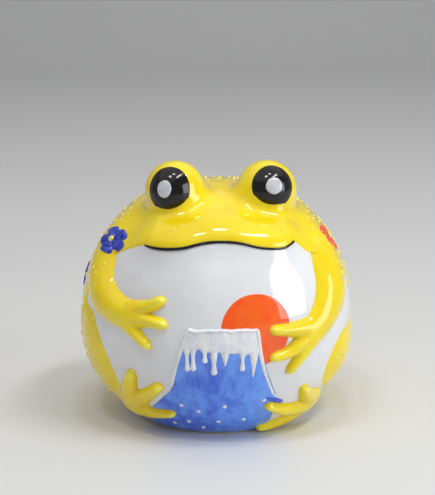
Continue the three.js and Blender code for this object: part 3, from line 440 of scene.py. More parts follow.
def limb_height(way, limb):
    """Runs along each path of the limb, the paths running softly together."""
    centre, paths = limb
    height = np.full(way.shape[:-1], DEEP)
    near = way @ direction(*centre) > math.cos(LIMB_REACH / BALL_RADIUS)
    here = to_flat(way[near], centre)
    total = np.full(len(here), -np.inf)
    for path in paths:
        row = smooth_row(slim_end(path), per_span=7)
        spots = to_flat(direction(*row[:, :2].T), centre)
        path_height = raised_run(here, spots, LIMB_SPREAD * arc(row[:, 2]), LIMB_HEIGHT * row[:, 3],
                                 LIMB_ROUNDNESS, RIM)
        total = soft_max(total, path_height, LIMB_BLEND)
    height[near] = np.maximum(total, DEEP)
    z = BALL_CENTRE_Z + BALL_RADIUS * way[..., 2]
    return height - TOES_DROP * (1 - smoothstep(z, *TOES_CUT))


def mound_centre(spec):
    axis = direction(*spec["mound"])
    return axis * (ball_radius(axis) + MOUND_STANDS_OUT)


def with_mounds(way, head):
    """The head's skin with the eye mounds run into it, and which mound each direction shows (-1 for none).
    Along a direction the skin is where the soft minimum of the distances to the head and to the mound is
    0, found by stepping inwards from outside both."""
    radius = head.copy()
    shows = np.full(head.shape, -1)
    for index, spec in enumerate(EYES.values()):
        centre = mound_centre(spec)
        near = way @ direction(*spec["mound"]) > math.cos(math.radians(MOUND_REACH))
        ways, heads = way[near], radius[near]
        far = np.full(len(ways), np.linalg.norm(centre) + MOUND_RADIUS + 1)
        for _ in range(STEPS_INWARD):
            off_mound = np.linalg.norm(ways * far[:, None] - centre, axis=1) - MOUND_RADIUS
            far = far - STEP_SHARE * soft_min(far - heads, off_mound, MOUND_BLEND)
        radius[near] = np.maximum(far, heads)
        shows[near] = np.where(off_mound < far - heads, index, shows[near])
    return radius, shows


def yellow_parts(way):
    """Height of the yellow layer and of each limb over the white skin's ball and muzzle, by name."""
    limbs = {name: limb_height(way, limb) for name, limb in LIMBS.items()}
    return {"head_and_back": coat_height(way), **limbs}


def yellow_height(way, parts=None):
    """The back with the limbs run into it, softly where it is coated and the limb is near."""
    height, *limbs = (parts or yellow_parts(way)).values()
    for limb in limbs:
        both = (height > COATED) & (limb > DEEP / 2)
        blend = np.where(both, SHOULDER_BLEND, HEM_BLEND) * smoothstep(height, 0, COAT)
        height = soft_max(height, limb, np.maximum(blend, LEAST_BLEND))
    return height


def outer_radius(way):
    """The outermost of the white and the yellow skin."""
    head = ball_radius(way) + muzzle(way) + np.maximum(yellow_height(way), 0)
    return with_mounds(way, head)[0]


def on_petals(way):
    return outer_radius(way) + 0.5 * PETAL_THICKNESS


# Meshes

def grid_faces(rows, columns, wrap):
    """Quads of a grid of points, each as four point numbers. Outward when columns run to the frog's left
    and rows run up."""
    i = np.arange(rows - 1)[:, None]
    j = np.arange(columns if wrap else columns - 1)[None, :]
    k = (j + 1) % columns
    corners = [i * columns + j, i * columns + k, (i + 1) * columns + k, (i + 1) * columns + j]
    return np.stack(np.broadcast_arrays(*corners), -1).reshape(-1, 4)


def grid_numbers(rows, columns, closed_rows):
    """The number of each point of a grid, one number for all the points of a closed row."""
    number = np.arange(rows * columns).reshape(rows, columns)
    for row in closed_rows:
        number[row] = number[row, 0]
    return number.reshape(-1)


def make_mesh(name, points, faces, normals=None, values=None):
    """A mesh in metres from points in millimetres round the ball's centre. Points that no face uses are
    left out, and faces with two corners at one point become triangles."""
    used, compact = np.unique(faces, return_inverse=True)
    compact = compact.reshape(faces.shape)
    lifted = (points[used] + [0, 0, BALL_CENTRE_Z]) * MM
    whole = (compact != np.roll(compact, 1, axis=1)).all(1)
    polygons = compact[whole].tolist()
    for face in compact[~whole].tolist():
        corners = list(dict.fromkeys(face))
        if len(corners) == 3:
            polygons.append(corners)
    mesh = bpy.data.meshes.new(name)
    mesh.from_pydata(lifted.tolist(), [], polygons)
    mesh.shade_smooth()
    for attribute, value in (values or {}).items():
        layer = mesh.attributes.new(attribute, "FLOAT", "POINT")
        layer.data.foreach_set("value", value[used].astype(np.float32))
    mesh.validate()
    if normals is not None:
        mesh.normals_split_custom_set_from_vertices(normals[used].tolist())
    piece = bpy.data.objects.new(name, mesh)
    bpy.context.scene.collection.objects.link(piece)
    return piece


def finish_piece(piece, material, slot, *nodes):
    """Every piece rides on the frog's one body, stands for its CAD nodes and has its own finish."""
    piece.data.materials.append(material)
    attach(piece, "root")
    if nodes:
        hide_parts(*nodes)


def surface(name, points, wrap=False, keep=None, closed_rows=()):
    """A piece from a grid of points, rows by columns. `closed_rows` are rows whose points all meet in one,
    and `keep` says which points show: a face with none of them is left out."""
    rows, columns = points.shape[:2]
    faces = grid_numbers(rows, columns, closed_rows)[grid_faces(rows, columns, wrap)]
    if keep is not None:
        faces = faces[keep.reshape(-1)[faces].any(1)]
    return make_mesh(name, points.reshape(-1, 3), faces)


# White casting

def ball_cut(radius, z):
    """Where a ball round the middle is cut at a height: the cut's radius and its elevation."""
    return math.sqrt(radius**2 - z**2), math.degrees(math.asin(z / radius))


def white_casting():
    """Rings along the shell's section: down the hollow's wall from its crown, across its floor to the vent,
    out through the vent, across the foot, round the foot's edge and up the outside to the crown."""
    azimuth = np.linspace(0, 360, CASTING_COLUMNS, endpoint=False)
    foot_z = -BALL_CENTRE_Z
    floor_z = foot_z + FOOT_WALL
    edge_z = foot_z + FOOT_EDGE
    vent_edge_z = foot_z + VENT_EDGE[0][1]

    def ring(radius, z, back=0.0):
        turn = np.radians(azimuth)
        return np.stack([radius * np.sin(turn), back - radius * np.cos(turn), 0 * turn + z], -1)

    def flat_rings(edge_radius, vent_radius, z, shares):
        """Rings of a flat floor at shares of the way from its edge to the vent behind its middle."""
        return [ring(edge_radius + (vent_radius - edge_radius) * s, z, VENT_BACK * s) for s in shares]

    floor_radius, floor_elevation = ball_cut(BALL_RADIUS - WALL, floor_z)
    inside_way = direction(azimuth, np.linspace(90, floor_elevation, CASTING_ROWS["inside"])[:, None])
    inside = inside_way * (ball_radius(inside_way) - WALL)[..., None]
    rings = flat_rings(floor_radius, VENT_RADIUS, floor_z, np.linspace(0.1, 1, CASTING_ROWS["floor"]))
    for z in np.linspace(floor_z, vent_edge_z, CASTING_ROWS["vent"])[1:-1]:
        rings.append(ring(VENT_RADIUS, z, VENT_BACK))
    for wider, up in VENT_EDGE:
        rings.append(ring(VENT_RADIUS + wider, foot_z + up, VENT_BACK))
    edge_radius, edge_elevation = ball_cut(BALL_RADIUS - FOOT_EDGE, edge_z)
    widest_vent = VENT_RADIUS + VENT_EDGE[-1][0]
    rings += flat_rings(edge_radius, widest_vent, foot_z, np.linspace(1, 0, CASTING_ROWS["foot"])[1:])
    for t in np.radians(np.linspace(-90, edge_elevation, CASTING_ROWS["edge"])[1:-1]):
        rings.append(ring(edge_radius + FOOT_EDGE * math.cos(t), edge_z + FOOT_EDGE * math.sin(t)))
    elevation = np.linspace(edge_elevation, 90, CASTING_ROWS["outside"])[:, None]
    outside_way = direction(azimuth, elevation)
    plain = ball_radius(outside_way)
    fade = smoothstep(elevation, edge_elevation, edge_elevation + CAST_LUMP_FADE)
    outside = outside_way * (plain + fade * (white_radius(outside_way) - plain))[..., None]
    points = np.concatenate([inside, np.stack(rings), outside])
    return surface("white_casting", points, wrap=True, closed_rows=(0, -1))


# Yellow skin, one fine grid shared out among its parts

def blurred(field, steps):
    """Mean of each value and its neighbours, `steps` times over."""
    for _ in range(steps):
        field = (np.roll(field, 1, 1) + np.roll(field, -1, 1) + 2 * field) / 4
        padded = np.vstack([field[:1], field, field[-1:]])
        field = (padded[:-2] + padded[2:] + 2 * field) / 4
    return field


def grid_normals(points, azimuth, elevation):
    """Outward normals of a grid that wraps round: the cross of its slopes along azimuth and elevation, both
    of which may be unevenly spaced."""
    round_again = np.concatenate([azimuth[-1:] - 360, azimuth, azimuth[:1] + 360])
    padded = np.concatenate([points[:, -1:], points, points[:, :1]], 1)
    along = np.gradient(padded, round_again, axis=1)[:, 1:-1]
    up = np.gradient(points, elevation, axis=0)
    normal = np.cross(along, up)
    normal[-1] = [0, 0, 1]
    return unit(normal)


def joined(spans):
    """One row of numbers through spans of [from, to, how many], each from the end of the one before."""
    return np.concatenate([np.linspace(*spans[0])] + [np.linspace(*span)[1:] for span in spans[1:]])


def yellow_skin():
    """The white skin's ball raised by the yellow height and the mounds. Each face belongs to the part that
    stands highest there, and all the parts share the whole skin's normals, so no joint shows."""
    azimuth = joined(SKIN_AZIMUTHS)[:-1]
    elevation = joined(SKIN_ELEVATIONS)
    way = direction(azimuth, elevation[:, None])
    parts = yellow_parts(way)
    height = yellow_height(way, parts)
    bare = ball_radius(way) + muzzle(way)
    radius, mound_shows = with_mounds(way, bare + height)
    points = way * radius[..., None]
    visible = radius - bare > SKIN_UNDER
    shown = np.maximum(radius - bare, 0)
    # hollow: how far the skin lies under its blurred self, below 0 on crests. The yellow glaze turns it
    # into amber in hollows (partly pooled glaze, partly painted shade) and paler crests (partly thin glaze,
    # partly a painted highlight).
    hollow = np.where(visible, np.clip((blurred(shown, POOL_AND_SHADE_BLUR) - shown) / POOL_AND_SHADE_DEPTH, -1, 1), 0)
    normals = grid_normals(points, azimuth, elevation)
    quads = grid_faces(*height.shape, wrap=True)
    faces = grid_numbers(*height.shape, closed_rows=(-1,))[quads]
    head, *limbs = parts.values()
    highest = np.stack([head + HEAD_FIRST, *limbs]).argmax(0)
    owner = np.where(mound_shows < 0, highest, len(parts) + mound_shows).reshape(-1)[quads[:, 0]]
    names = list(parts) + [name + "_eye_mound" for name in EYES]
    seen = visible.reshape(-1)[quads].any(1)
    pieces = {}
    for index, name in enumerate(names):
        chosen = faces[seen & (owner == index)]
        pieces[name] = make_mesh(name + "_glaze", points.reshape(-1, 3), chosen,
                                 normals.reshape(-1, 3), {"hollow": hollow.reshape(-1)})
    return pieces


# Eyes

def turned_about(centre, way, profile, segments, tall=1.0, wobble=0.0, seed=0):
    """A profile of [distance from the axis, height along it] turned round an axis from `centre` along
    `way`, `tall` times as high as wide, its distances changed by a slow wobble round the turn."""
    axis = unit(way)
    side = unit(np.cross([0, 0, 1], axis))
    top = np.cross(axis, side)
    turn = full_turn(segments)
    bends = (2, 3, 5)
    starts = np.random.default_rng(seed).uniform(0, 6, len(bends))
    waves = sum(np.sin(count * turn + start) for count, start in zip(bends, starts)) / len(bends)
    profile = np.asarray(profile)
    radius = profile[:, :1] * (1 + wobble * waves)[None, :]
    ring = np.cos(turn)[:, None] * side + tall * np.sin(turn)[:, None] * top
    return centre + radius[..., None] * ring[None] + profile[:, 1][:, None, None] * axis


def eye_face():
    """Rim height, radius and centre of the ball that the black eye's face is part of."""
    rim = math.sqrt(MOUND_RADIUS**2 - EYE_RADIUS**2)
    rise = MOUND_RADIUS + EYE_BULGE - rim
    radius = (EYE_RADIUS**2 + rise**2) / (2 * rise)
    return rim, radius, MOUND_RADIUS + EYE_BULGE - radius


def eye_profile():
    """From the back of the eye round its thick rounded rim and over the bulging face to its middle."""
    rim, radius, centre = eye_face()
    widest = math.asin(EYE_RADIUS / radius)
    slants = widest * np.linspace(1, 0, 24)
    face = np.stack([radius * np.sin(slants), centre + radius * np.cos(slants)], -1)
    turns = np.radians(np.linspace(-80, 30, 7))
    lip_height = face[0, 1] - 0.55 * EYE_LIP
    lip = np.stack([EYE_RADIUS - EYE_LIP_INSET + EYE_LIP * np.cos(turns),
                    lip_height + EYE_LIP * np.sin(turns)], -1)
    back = rim - EYE_BACK
    return np.vstack([[0, back], [EYE_RADIUS - EYE_BACK_INSET, back], lip, face[1:]])


def eye(name, spec):
    centre = mound_centre(spec)
    points = turned_about(centre, direction(*spec["looks"]), eye_profile(), segments=96,
                          tall=spec["tall"], wobble=EYE_WOBBLE, seed=len(name))
    return surface(name + "_eye_dome", points, wrap=True, closed_rows=(0, -1))


def glint(name, spec):
    """A thin round of pale enamel on the eye's face, with a rounded edge."""
    _, radius, centre = eye_face()
    looks = direction(*spec["looks"])
    spot = direction(*spec["glint"]) * (centre + radius) - looks * centre
    shares = np.linspace(1, 0, 10)
    slants = spec["glint_radius"] / radius * shares
    over = radius + GLINT_THICKNESS * np.sqrt(1 - shares**4)
    face = np.stack([over * np.sin(slants), over * np.cos(slants)], -1)
    sunk = radius - GLINT_SUNK
    under = np.array([[0, sunk], [sunk * math.sin(slants[0]), sunk * math.cos(slants[0])]])
    start = mound_centre(spec) + looks * centre
    points = turned_about(start, spot, np.vstack([under, face]), segments=48, tall=spec["glint_tall"],
                          wobble=GLINT_WOBBLE, seed=7 + len(name))
    return surface(name + "_eye_glint_dot", points, wrap=True, closed_rows=(0, -1))


# Strokes, patches and dots of enamel

def stroke(name, places, widths, heights, base):
    """A raised brush stroke: along a curve through the places, a half ellipse across, its half width and
    height changing along it and both ends drawn in. `base` gives the radius that it lies on."""
    row = smooth_row(np.column_stack([places, widths, heights]), per_span=10)
    way = direction(*row[:, :2].T)
    sideways = np.cross(way, unit(np.gradient(way, axis=0)))
    from_start = np.linspace(0, 1, len(row))
    least = 0.02
    drawn_in = np.clip(np.minimum(from_start, 1 - from_start) / STROKE_END, 0, 1)
    taper = np.sqrt(drawn_in * (1 - least) + least)
    points_across = 9
    turn = np.linspace(0, math.pi, points_across)
    side = (row[:, 2] * taper)[:, None] * np.cos(turn)[None, :]
    rise = (row[:, 3] * taper)[:, None] * np.sin(turn)[None, :]
    ways = unit(way[:, None, :] + sideways[:, None, :] * side[..., None] / BALL_RADIUS)
    top = ways * (base(ways) - STROKE_SUNK + rise)[..., None]
    back_ways = ways[:, -2:0:-1]
    under = back_ways * (base(back_ways) - STROKE_UNDER)[..., None]
    loop = np.concatenate([top, under], 1)
    first, last = loop[:1].mean(1, keepdims=True), loop[-1:].mean(1, keepdims=True)
    ends = [np.repeat(first, loop.shape[1], 1), loop, np.repeat(last, loop.shape[1], 1)]
    return surface(name, np.concatenate(ends)[::-1], wrap=True, closed_rows=(0, -1))


def wash_height(depth, thickness):
    """A coat of paint: full thickness inside, rounding down at its edge and ending under the skin."""
    return np.interp(depth, WASH_EDGE, [-0.35, 0.55 * thickness, thickness])


def slope_azimuth(slope, elevation):
    """Azimuth of one of the mountain's slopes at an elevation."""
    row = smooth_row(slope, per_span=20)
    return np.interp(-elevation, -row[:, 1], row[:, 0])


def mountain():
    """Straight across from slope to slope, rows running from the foot of the mountain up to its summit."""
    rows, columns = MOUNTAIN_GRID
    elevation = np.linspace(MOUNTAIN_LOWEST, MOUNTAIN_TOP - CREST_OVERHANG, rows)[:, None]
    from_azimuth = slope_azimuth(RIGHT_SLOPE, elevation)
    span = slope_azimuth(LEFT_SLOPE, elevation) - from_azimuth
    share = np.linspace(0, 1, columns)[None, :]
    way = direction(from_azimuth + span * share, elevation)
    width = arc(span) * np.cos(np.radians(elevation))
    depth = np.minimum(np.minimum(share, 1 - share) * width, arc(MOUNTAIN_TOP - elevation))
    waver = 0.1 * lumps(way * BALL_RADIUS, 3, seed=11)
    height = wash_height(depth + waver, MOUNTAIN_THICKNESS)
    return surface("mountain_wash", way * (white_radius(way) + height)[..., None])


def flat_spots(places):
    """Millimetres across and up on the belly's middle, from places near the ball's equator."""
    across = arc(places[..., 0]) * np.cos(np.radians(places[..., 1]))
    return np.stack([across, arc(places[..., 1])], -1)


def snow_lowest(azimuth):
    return np.interp(azimuth, (RIGHT_SLOPE[0, 0], LEFT_SLOPE[0, 0]), SNOW_LOWEST)


def crest():
    """Rows of [azimuth, elevation, half width, height] along the snow's top and down its left edge."""
    rng = np.random.default_rng(21)
    top = [[a, MOUNTAIN_TOP + rng.uniform(-0.5, 0.15), rng.uniform(0.55, 0.95), rng.uniform(0.5, 0.8)]
           for a in np.linspace(RIGHT_SLOPE[0, 0] + 0.4, LEFT_SLOPE[0, 0], SNOW_BEADS)]
    return smooth_row(top + SNOW_LEFT_EDGE, per_span=7)


def drip(azimuth, end, shape):
    """Rows like those of the crest, straight down from the snow's lower edge."""
    start = snow_lowest(azimuth) + DRIP_START
    return smooth_row([[azimuth, start + (end - start) * share, width, height]
                       for share, width, height in DRIP_SHAPES[shape]], per_span=9)


def snow():
    """Thick slip over the summit, as one height: a low field with downward brush streaks, a raised crest
    along its top and down its left edge, and drips that end in drops or points."""
    azimuth = np.linspace(*SNOW_AZIMUTHS)[None, :]
    elevation = np.linspace(*SNOW_ELEVATIONS)[:, None]
    way = direction(azimuth, elevation)
    here = flat_spots(np.stack(np.broadcast_arrays(azimuth, elevation), -1))
    from_right = azimuth - slope_azimuth(RIGHT_SLOPE, elevation)
    from_left = slope_azimuth(LEFT_SLOPE, elevation) - azimuth
    edges = (from_right, from_left, elevation - snow_lowest(azimuth), MOUNTAIN_TOP - elevation)
    inside = arc(np.minimum.reduce(np.broadcast_arrays(*edges)))
    ragged = 0.22 * lumps(way * BALL_RADIUS, 2.4, seed=12)
    drawn_out = way * BALL_RADIUS * [1, 1, 0.2]
    streaks = 0.05 * lumps(drawn_out, 2.6, seed=13) + 0.015 * lumps(drawn_out, 1.1, seed=14)
    height = np.interp(inside + ragged, *SNOW_FIELD) + streaks
    for run in [crest()] + [drip(*row) for row in DRIPS]:
        spots = flat_spots(run[:, :2])
        raised = raised_run(here, spots, run[:, 2], run[:, 3], roundness=0.6, sunk=0.35)
        height = soft_max(height, raised, SNOW_BLEND)
    lowest, shows_from = SNOW_DEPTHS
    height = np.maximum(height, lowest)
    radius = white_radius(way) + SNOW_BASE + height
    return surface("snow_slip", way * radius[..., None], keep=height > shows_from)


def sun():
    """A round of paint, rings from its rim to its middle."""
    shares = np.concatenate([np.linspace(1, 0.93, 8), np.linspace(0.9, 0, 26)])[:, None]
    turn = full_turn(160)[None, :]
    sag = SUN_SAG * np.maximum(-np.sin(turn), 0) ** 2
    rim = SUN_RADIUS * (1 + sag + 0.004 * np.sin(3 * turn + 1) + 0.003 * np.sin(7 * turn))
    flat = np.stack([shares * rim * np.cos(turn), shares * rim * np.sin(turn)], -1)
    way = to_way(flat, SUN_CENTRE)
    height = wash_height((1 - shares) * SUN_RADIUS, SUN_THICKNESS)
    return surface("sun_disc", way * (white_radius(way) + height)[..., None], wrap=True, closed_rows=(-1,))


def domes(name, places, radii, rise, base, rings=3, segments=8):
    """Small round domes, all in one mesh, each from a rim sunk in the skin up to its rounded middle."""
    way = direction(*np.asarray(places).T)
    turn = full_turn(segments)
    shares = np.linspace(1, 0, rings + 1)
    side = unit(np.cross(way, [0, 0, 1]))
    top = np.cross(side, way)
    ring = np.cos(turn)[None, :, None] * side[:, None] + np.sin(turn)[None, :, None] * top[:, None]
    radii = np.asarray(radii)[:, None, None, None]
    lift = (rise * np.sqrt(1 - shares**2) - DOME_SUNK)[None, :, None, None]
    points = (way * base(way)[:, None])[:, None, None] + way[:, None, None] * lift
    points = points + ring[:, None] * shares[None, :, None, None] * radii
    count, rows, columns = points.shape[:3]
    one = grid_numbers(rows, columns, (-1,))[grid_faces(rows, columns, wrap=True)][:, ::-1]
    faces = (one[None] + (np.arange(count) * rows * columns)[:, None, None]).reshape(-1, 4)
    return make_mesh(name, points.reshape(-1, 3), faces)


def petals(name, place, width, height, seed):
    """A five-petalled round of thick enamel, rings from its rim to its middle: brush ridges run out along
    each petal, with a groove between petals and a thick rounded edge."""
    shares = np.concatenate([np.linspace(1, 0.9, 6), np.linspace(0.85, 0, 18)])[:, None]
    turn = full_turn(160)[None, :]
    start = np.random.default_rng(seed).uniform(0, 2 * math.pi)
    notch = ((1 + np.cos(PETALS * turn + start)) / 2) ** 5
    uneven = 1 + 0.05 * np.sin(2 * turn + start) + 0.03 * np.sin(7 * turn + 2 * start)
    rim = PETAL_RADIUS * (1 - PETAL_DIP * notch) * uneven
    flat = np.stack([width * shares * rim * np.cos(turn), height * shares * rim * np.sin(turn)], -1)
    way = to_way(flat, place)
    edge = np.sqrt(np.clip((1 - shares) / 0.14, 0, 1))
    groove = 1 - 0.6 * notch * smoothstep(shares, 0.15, 0.5)
    ridges = np.sin(29 * turn + 3 * shares + start) + np.sin(41 * turn - 5 * shares)
    brush = 1 + 0.11 * ridges * smoothstep(shares, 0.1, 0.4) + 0.15 * lumps(way * BALL_RADIUS, 2.2, seed)
    dish = 0.7 + 0.3 * shares**2
    rise = PETAL_THICKNESS * edge * groove * brush * dish - PETAL_SUNK
    return surface(name, way * (outer_radius(way) + rise)[..., None], wrap=True, closed_rows=(-1,))


def skin_dots():
    """Dots of yellow slip scattered over the yellow, close together at the sides and back, sparse on the
    cheeks and none on the brow: random places are kept where no kept one lies near."""
    rng = np.random.default_rng(31)
    way = unit(rng.normal(size=(DOT_TRIES, 3)))
    aside, elevation = np.abs(azimuth_of(way)), elevation_of(way)
    yellow = (yellow_height(way) > 0.3) & (elevation > DOT_LOWEST)
    over_mouth, cheek_aside, cheek_lowest = DOT_CHEEK
    on_cheek = (above_mouth(way) > over_mouth) & (aside > cheek_aside) & (elevation > cheek_lowest)
    off_face = on_cheek | (elevation > DOT_CROWN) | (aside > DOT_FLANK)
    share = DOT_SPARSE + (1 - DOT_SPARSE) * smoothstep(aside, *DOT_CROWDING)
    wanted = yellow & off_face & (rng.uniform(size=DOT_TRIES) < share)
    for spec in EYES.values():
        wanted &= way @ direction(*spec["mound"]) < math.cos(math.radians(DOT_EYE_CLEARANCE))
    for a, e, width, _ in BLOSSOMS["blue"] + BLOSSOMS["red"]:
        reach = DOT_BLOSSOM_CLEARANCE * width * PETAL_RADIUS
        wanted &= way @ direction(a, e) < math.cos(reach / BALL_RADIUS)
    kept = np.empty((0, 3))
    for one in way[wanted]:
        if not len(kept) or (kept @ one).max() < math.cos(DOT_SPACING / BALL_RADIUS):
            kept = np.vstack([kept, one])
    places = np.column_stack([azimuth_of(kept), elevation_of(kept)])
    return domes("skin_dots", places, rng.uniform(*DOT_RADII, len(places)), DOT_RISE, outer_radius)


# Materials

def new_material(name):
    material = bpy.data.materials.new(name)
    material.use_nodes = True
    tree = material.node_tree
    tree.nodes.clear()
    output = tree.nodes.new("ShaderNodeOutputMaterial")
    shader = tree.nodes.new("ShaderNodeBsdfPrincipled")
    tree.links.new(shader.outputs["BSDF"], output.inputs["Surface"])
    return material, tree, shader


def node(tree, kind, **settings):
    made = tree.nodes.new(kind)
    for key, value in settings.items():
        setattr(made, key, value)
    return made


def set_inputs(made, **values):
    """Sets inputs of a node by name, with _ for each space."""
    for key, value in values.items():
        made.inputs[key.replace("_", " ")].default_value = value


def noise(tree, vector, size, detail=2.0, roughness=0.5, distortion=0.0):
    """Noise with features about `size` millimetres across."""
    made = node(tree, "ShaderNodeTexNoise")
    set_inputs(made, Scale=1 / (size * MM), Detail=detail, Roughness=roughness, Distortion=distortion)
    tree.links.new(vector, made.inputs["Vector"])
    return made.outputs["Fac"]


def ranged(tree, value, low, high, to_low=0.0, to_high=1.0):
    made = node(tree, "ShaderNodeMapRange", interpolation_type="SMOOTHSTEP")
    set_inputs(made, From_Min=low, From_Max=high, To_Min=to_low, To_Max=to_high)
    tree.links.new(value, made.inputs["Value"])
    return made.outputs["Result"]


def mixed(tree, factor, first, second):
    """Two colours mixed by a factor. Each colour is a socket or four numbers."""
    made = node(tree, "ShaderNodeMix", data_type="RGBA")
    for socket, colour in ((made.inputs[6], first), (made.inputs[7], second)):
        if isinstance(colour, bpy.types.NodeSocket):
            tree.links.new(colour, socket)
        else:
            socket.default_value = colour
    tree.links.new(factor, made.inputs[0])
    return made.outputs[2]


def glaze_group():
    """Thick glaze: slow ripples as a height, and a soft mottling as a tone."""
    group = bpy.data.node_groups.new("thick_glaze", "ShaderNodeTree")
    for name, side in (("Ripple", "INPUT"), ("Height", "OUTPUT"), ("Tone", "OUTPUT")):
        group.interface.new_socket(name, in_out=side, socket_type="NodeSocketFloat")
    inputs, outputs = group.nodes.new("NodeGroupInput"), group.nodes.new("NodeGroupOutput")
    where = group.nodes.new("ShaderNodeTexCoord").outputs["Object"]
    ripple = node(group, "ShaderNodeMath", operation="MULTIPLY")
    group.links.new(noise(group, where, 7, detail=1), ripple.inputs[0])
    group.links.new(inputs.outputs["Ripple"], ripple.inputs[1])
    group.links.new(ripple.outputs[0], outputs.inputs["Height"])
    group.links.new(ranged(group, noise(group, where, 12, detail=3), 0.3, 0.7), outputs.inputs["Tone"])
    return group


GLAZE = glaze_group()


def glazed(tree, shader, ripple=0.05, roughness=0.3, coat=1.0):
    """A clear coat over a softer colour, rippled by the glaze group. Returns the group's tone."""
    group = node(tree, "ShaderNodeGroup", node_tree=GLAZE)
    set_inputs(group, Ripple=ripple)
    bump = node(tree, "ShaderNodeBump")
    set_inputs(bump, Strength=1.0, Distance=MM)
    tree.links.new(group.outputs["Height"], bump.inputs["Height"])
    tree.links.new(bump.outputs["Normal"], shader.inputs["Normal"])
    set_inputs(shader, Roughness=roughness, Specular_IOR_Level=0.1, Coat_Weight=coat, Coat_Roughness=0.03)
    return group.outputs["Tone"]


def object_place(tree):
    return node(tree, "ShaderNodeTexCoord").outputs["Object"]


def white_porcelain():
    material, tree, shader = new_material("white_porcelain")
    tone = glazed(tree, shader)
    milk = mixed(tree, tone, (0.77, 0.77, 0.785, 1), (0.82, 0.825, 0.84, 1))
    height = node(tree, "ShaderNodeSeparateXYZ")
    tree.links.new(object_place(tree), height.inputs[0])
    glazed_part = ranged(tree, height.outputs["Z"], 0.0003, 0.0009)
    tree.links.new(mixed(tree, glazed_part, (0.66, 0.62, 0.56, 1), milk), shader.inputs["Base Color"])
    tree.links.new(glazed_part, shader.inputs["Coat Weight"])
    return material


def yellow_glaze():
    """Yellow over the relief: faintly amber in hollows, partly glaze pooling there and partly painted
    shade, and paler on crests, partly thin glaze there and partly a painted highlight."""
    material, tree, shader = new_material("yellow_glaze")
    tone = glazed(tree, shader, ripple=0.07)
    hollow = node(tree, "ShaderNodeAttribute", attribute_name="hollow").outputs["Fac"]
    plain = mixed(tree, tone, (0.90, 0.66, 0.006, 1), (0.95, 0.76, 0.012, 1))
    # Paler on crests, where hollow is below 0: partly thin glaze, partly a painted highlight.
    thin = mixed(tree, ranged(tree, hollow, -0.15, -0.9), plain, (0.93, 0.82, 0.06, 1))
    # Amber in hollows, where hollow is above 0: partly pooled glaze, partly painted shade.
    pooled_and_painted_shade = mixed(tree, ranged(tree, hollow, 0.15, 1.0, 0, 0.65), thin, (0.76, 0.47, 0.01, 1))
    tree.links.new(pooled_and_painted_shade, shader.inputs["Base Color"])
    return material


def black_glaze():
    material, tree, shader = new_material("black_glaze")
    tone = glazed(tree, shader, roughness=0.2, coat=0.75)
    shades = mixed(tree, tone, (0.003, 0.002, 0.002, 1), (0.008, 0.005, 0.005, 1))
    tree.links.new(shades, shader.inputs["Base Color"])
    return material


def blue_wash():
    """Watered blue: big soft clouds and downward streaks from a mid blue to a pale one, a few small deep
    blots, and paler still towards the snow and the left slope."""
    material, tree, shader = new_material("blue_wash")
    glazed(tree, shader, ripple=0.04)
    where = object_place(tree)
    stretched = node(tree, "ShaderNodeMapping")
    set_inputs(stretched, Scale=(1.5, 1.5, 0.5))
    tree.links.new(where, stretched.inputs["Vector"])
    clouds = noise(tree, where, 9, detail=4, roughness=0.55, distortion=0.7)
    streaks = noise(tree, stretched.outputs["Vector"], 4, detail=3, roughness=0.6)
    both = node(tree, "ShaderNodeMath", operation="ADD")
    tree.links.new(clouds, both.inputs[0])
    tree.links.new(streaks, both.inputs[1])
    cloudy = ranged(tree, both.outputs[0], 0.74, 1.26)
    washed = mixed(tree, cloudy, (0.045, 0.13, 0.76, 1), (0.14, 0.34, 1.0, 1))
    spot = node(tree, "ShaderNodeSeparateXYZ")
    tree.links.new(where, spot.inputs[0])
    near_snow = ranged(tree, spot.outputs["Z"], 0.020, 0.036, 0, 0.5)
    paler = mixed(tree, near_snow, washed, (0.19, 0.40, 1.0, 1))
    leftward = ranged(tree, spot.outputs["X"], -0.004, 0.014, 0, 0.55)
    at_left = mixed(tree, leftward, paler, (0.16, 0.40, 1.0, 1))
    blots = ranged(tree, noise(tree, where, 2.2, detail=2), 0.66, 0.74, 0, 0.6)
    tree.links.new(mixed(tree, blots, at_left, (0.05, 0.10, 0.70, 1)), shader.inputs["Base Color"])
    return material


def enamel(name, first, second, size=2.5, ripple=0.08):
    """A thick enamel in two close tones."""
    material, tree, shader = new_material(name)
    glazed(tree, shader, ripple=ripple)
    clouds = noise(tree, object_place(tree), size, detail=3, roughness=0.6)
    both = mixed(tree, ranged(tree, clouds, 0.38, 0.62), first, second)
    tree.links.new(both, shader.inputs["Base Color"])
    return material


# The frog

def finish_eyes(black):
    pale = enamel("glint_enamel", (0.52, 0.55, 0.58, 1), (0.62, 0.65, 0.68, 1))
    for name, spec in EYES.items():
        finish_piece(eye(name, spec), black, "black_glaze", name + "_eye")
        finish_piece(glint(name, spec), pale, "glint_enamel", name + "_eye_glint")


def finish_mouth(black):
    """Thin at its right corner and a little thinner again towards its left."""
    widths = np.interp(np.arange(len(MOUTH)), *MOUTH_HALF_WIDTHS)
    mouth = stroke("mouth_stroke", MOUTH, widths, STROKE_HEIGHT * widths, on_coat)
    finish_piece(mouth, black, "black_glaze", "mouth_line")


def painted_stroke(name, places, widths, share=STROKE_HEIGHT):
    """A stroke in the painting, its height a share of its half width."""
    return stroke(name, places, widths, share * widths, on_paint)


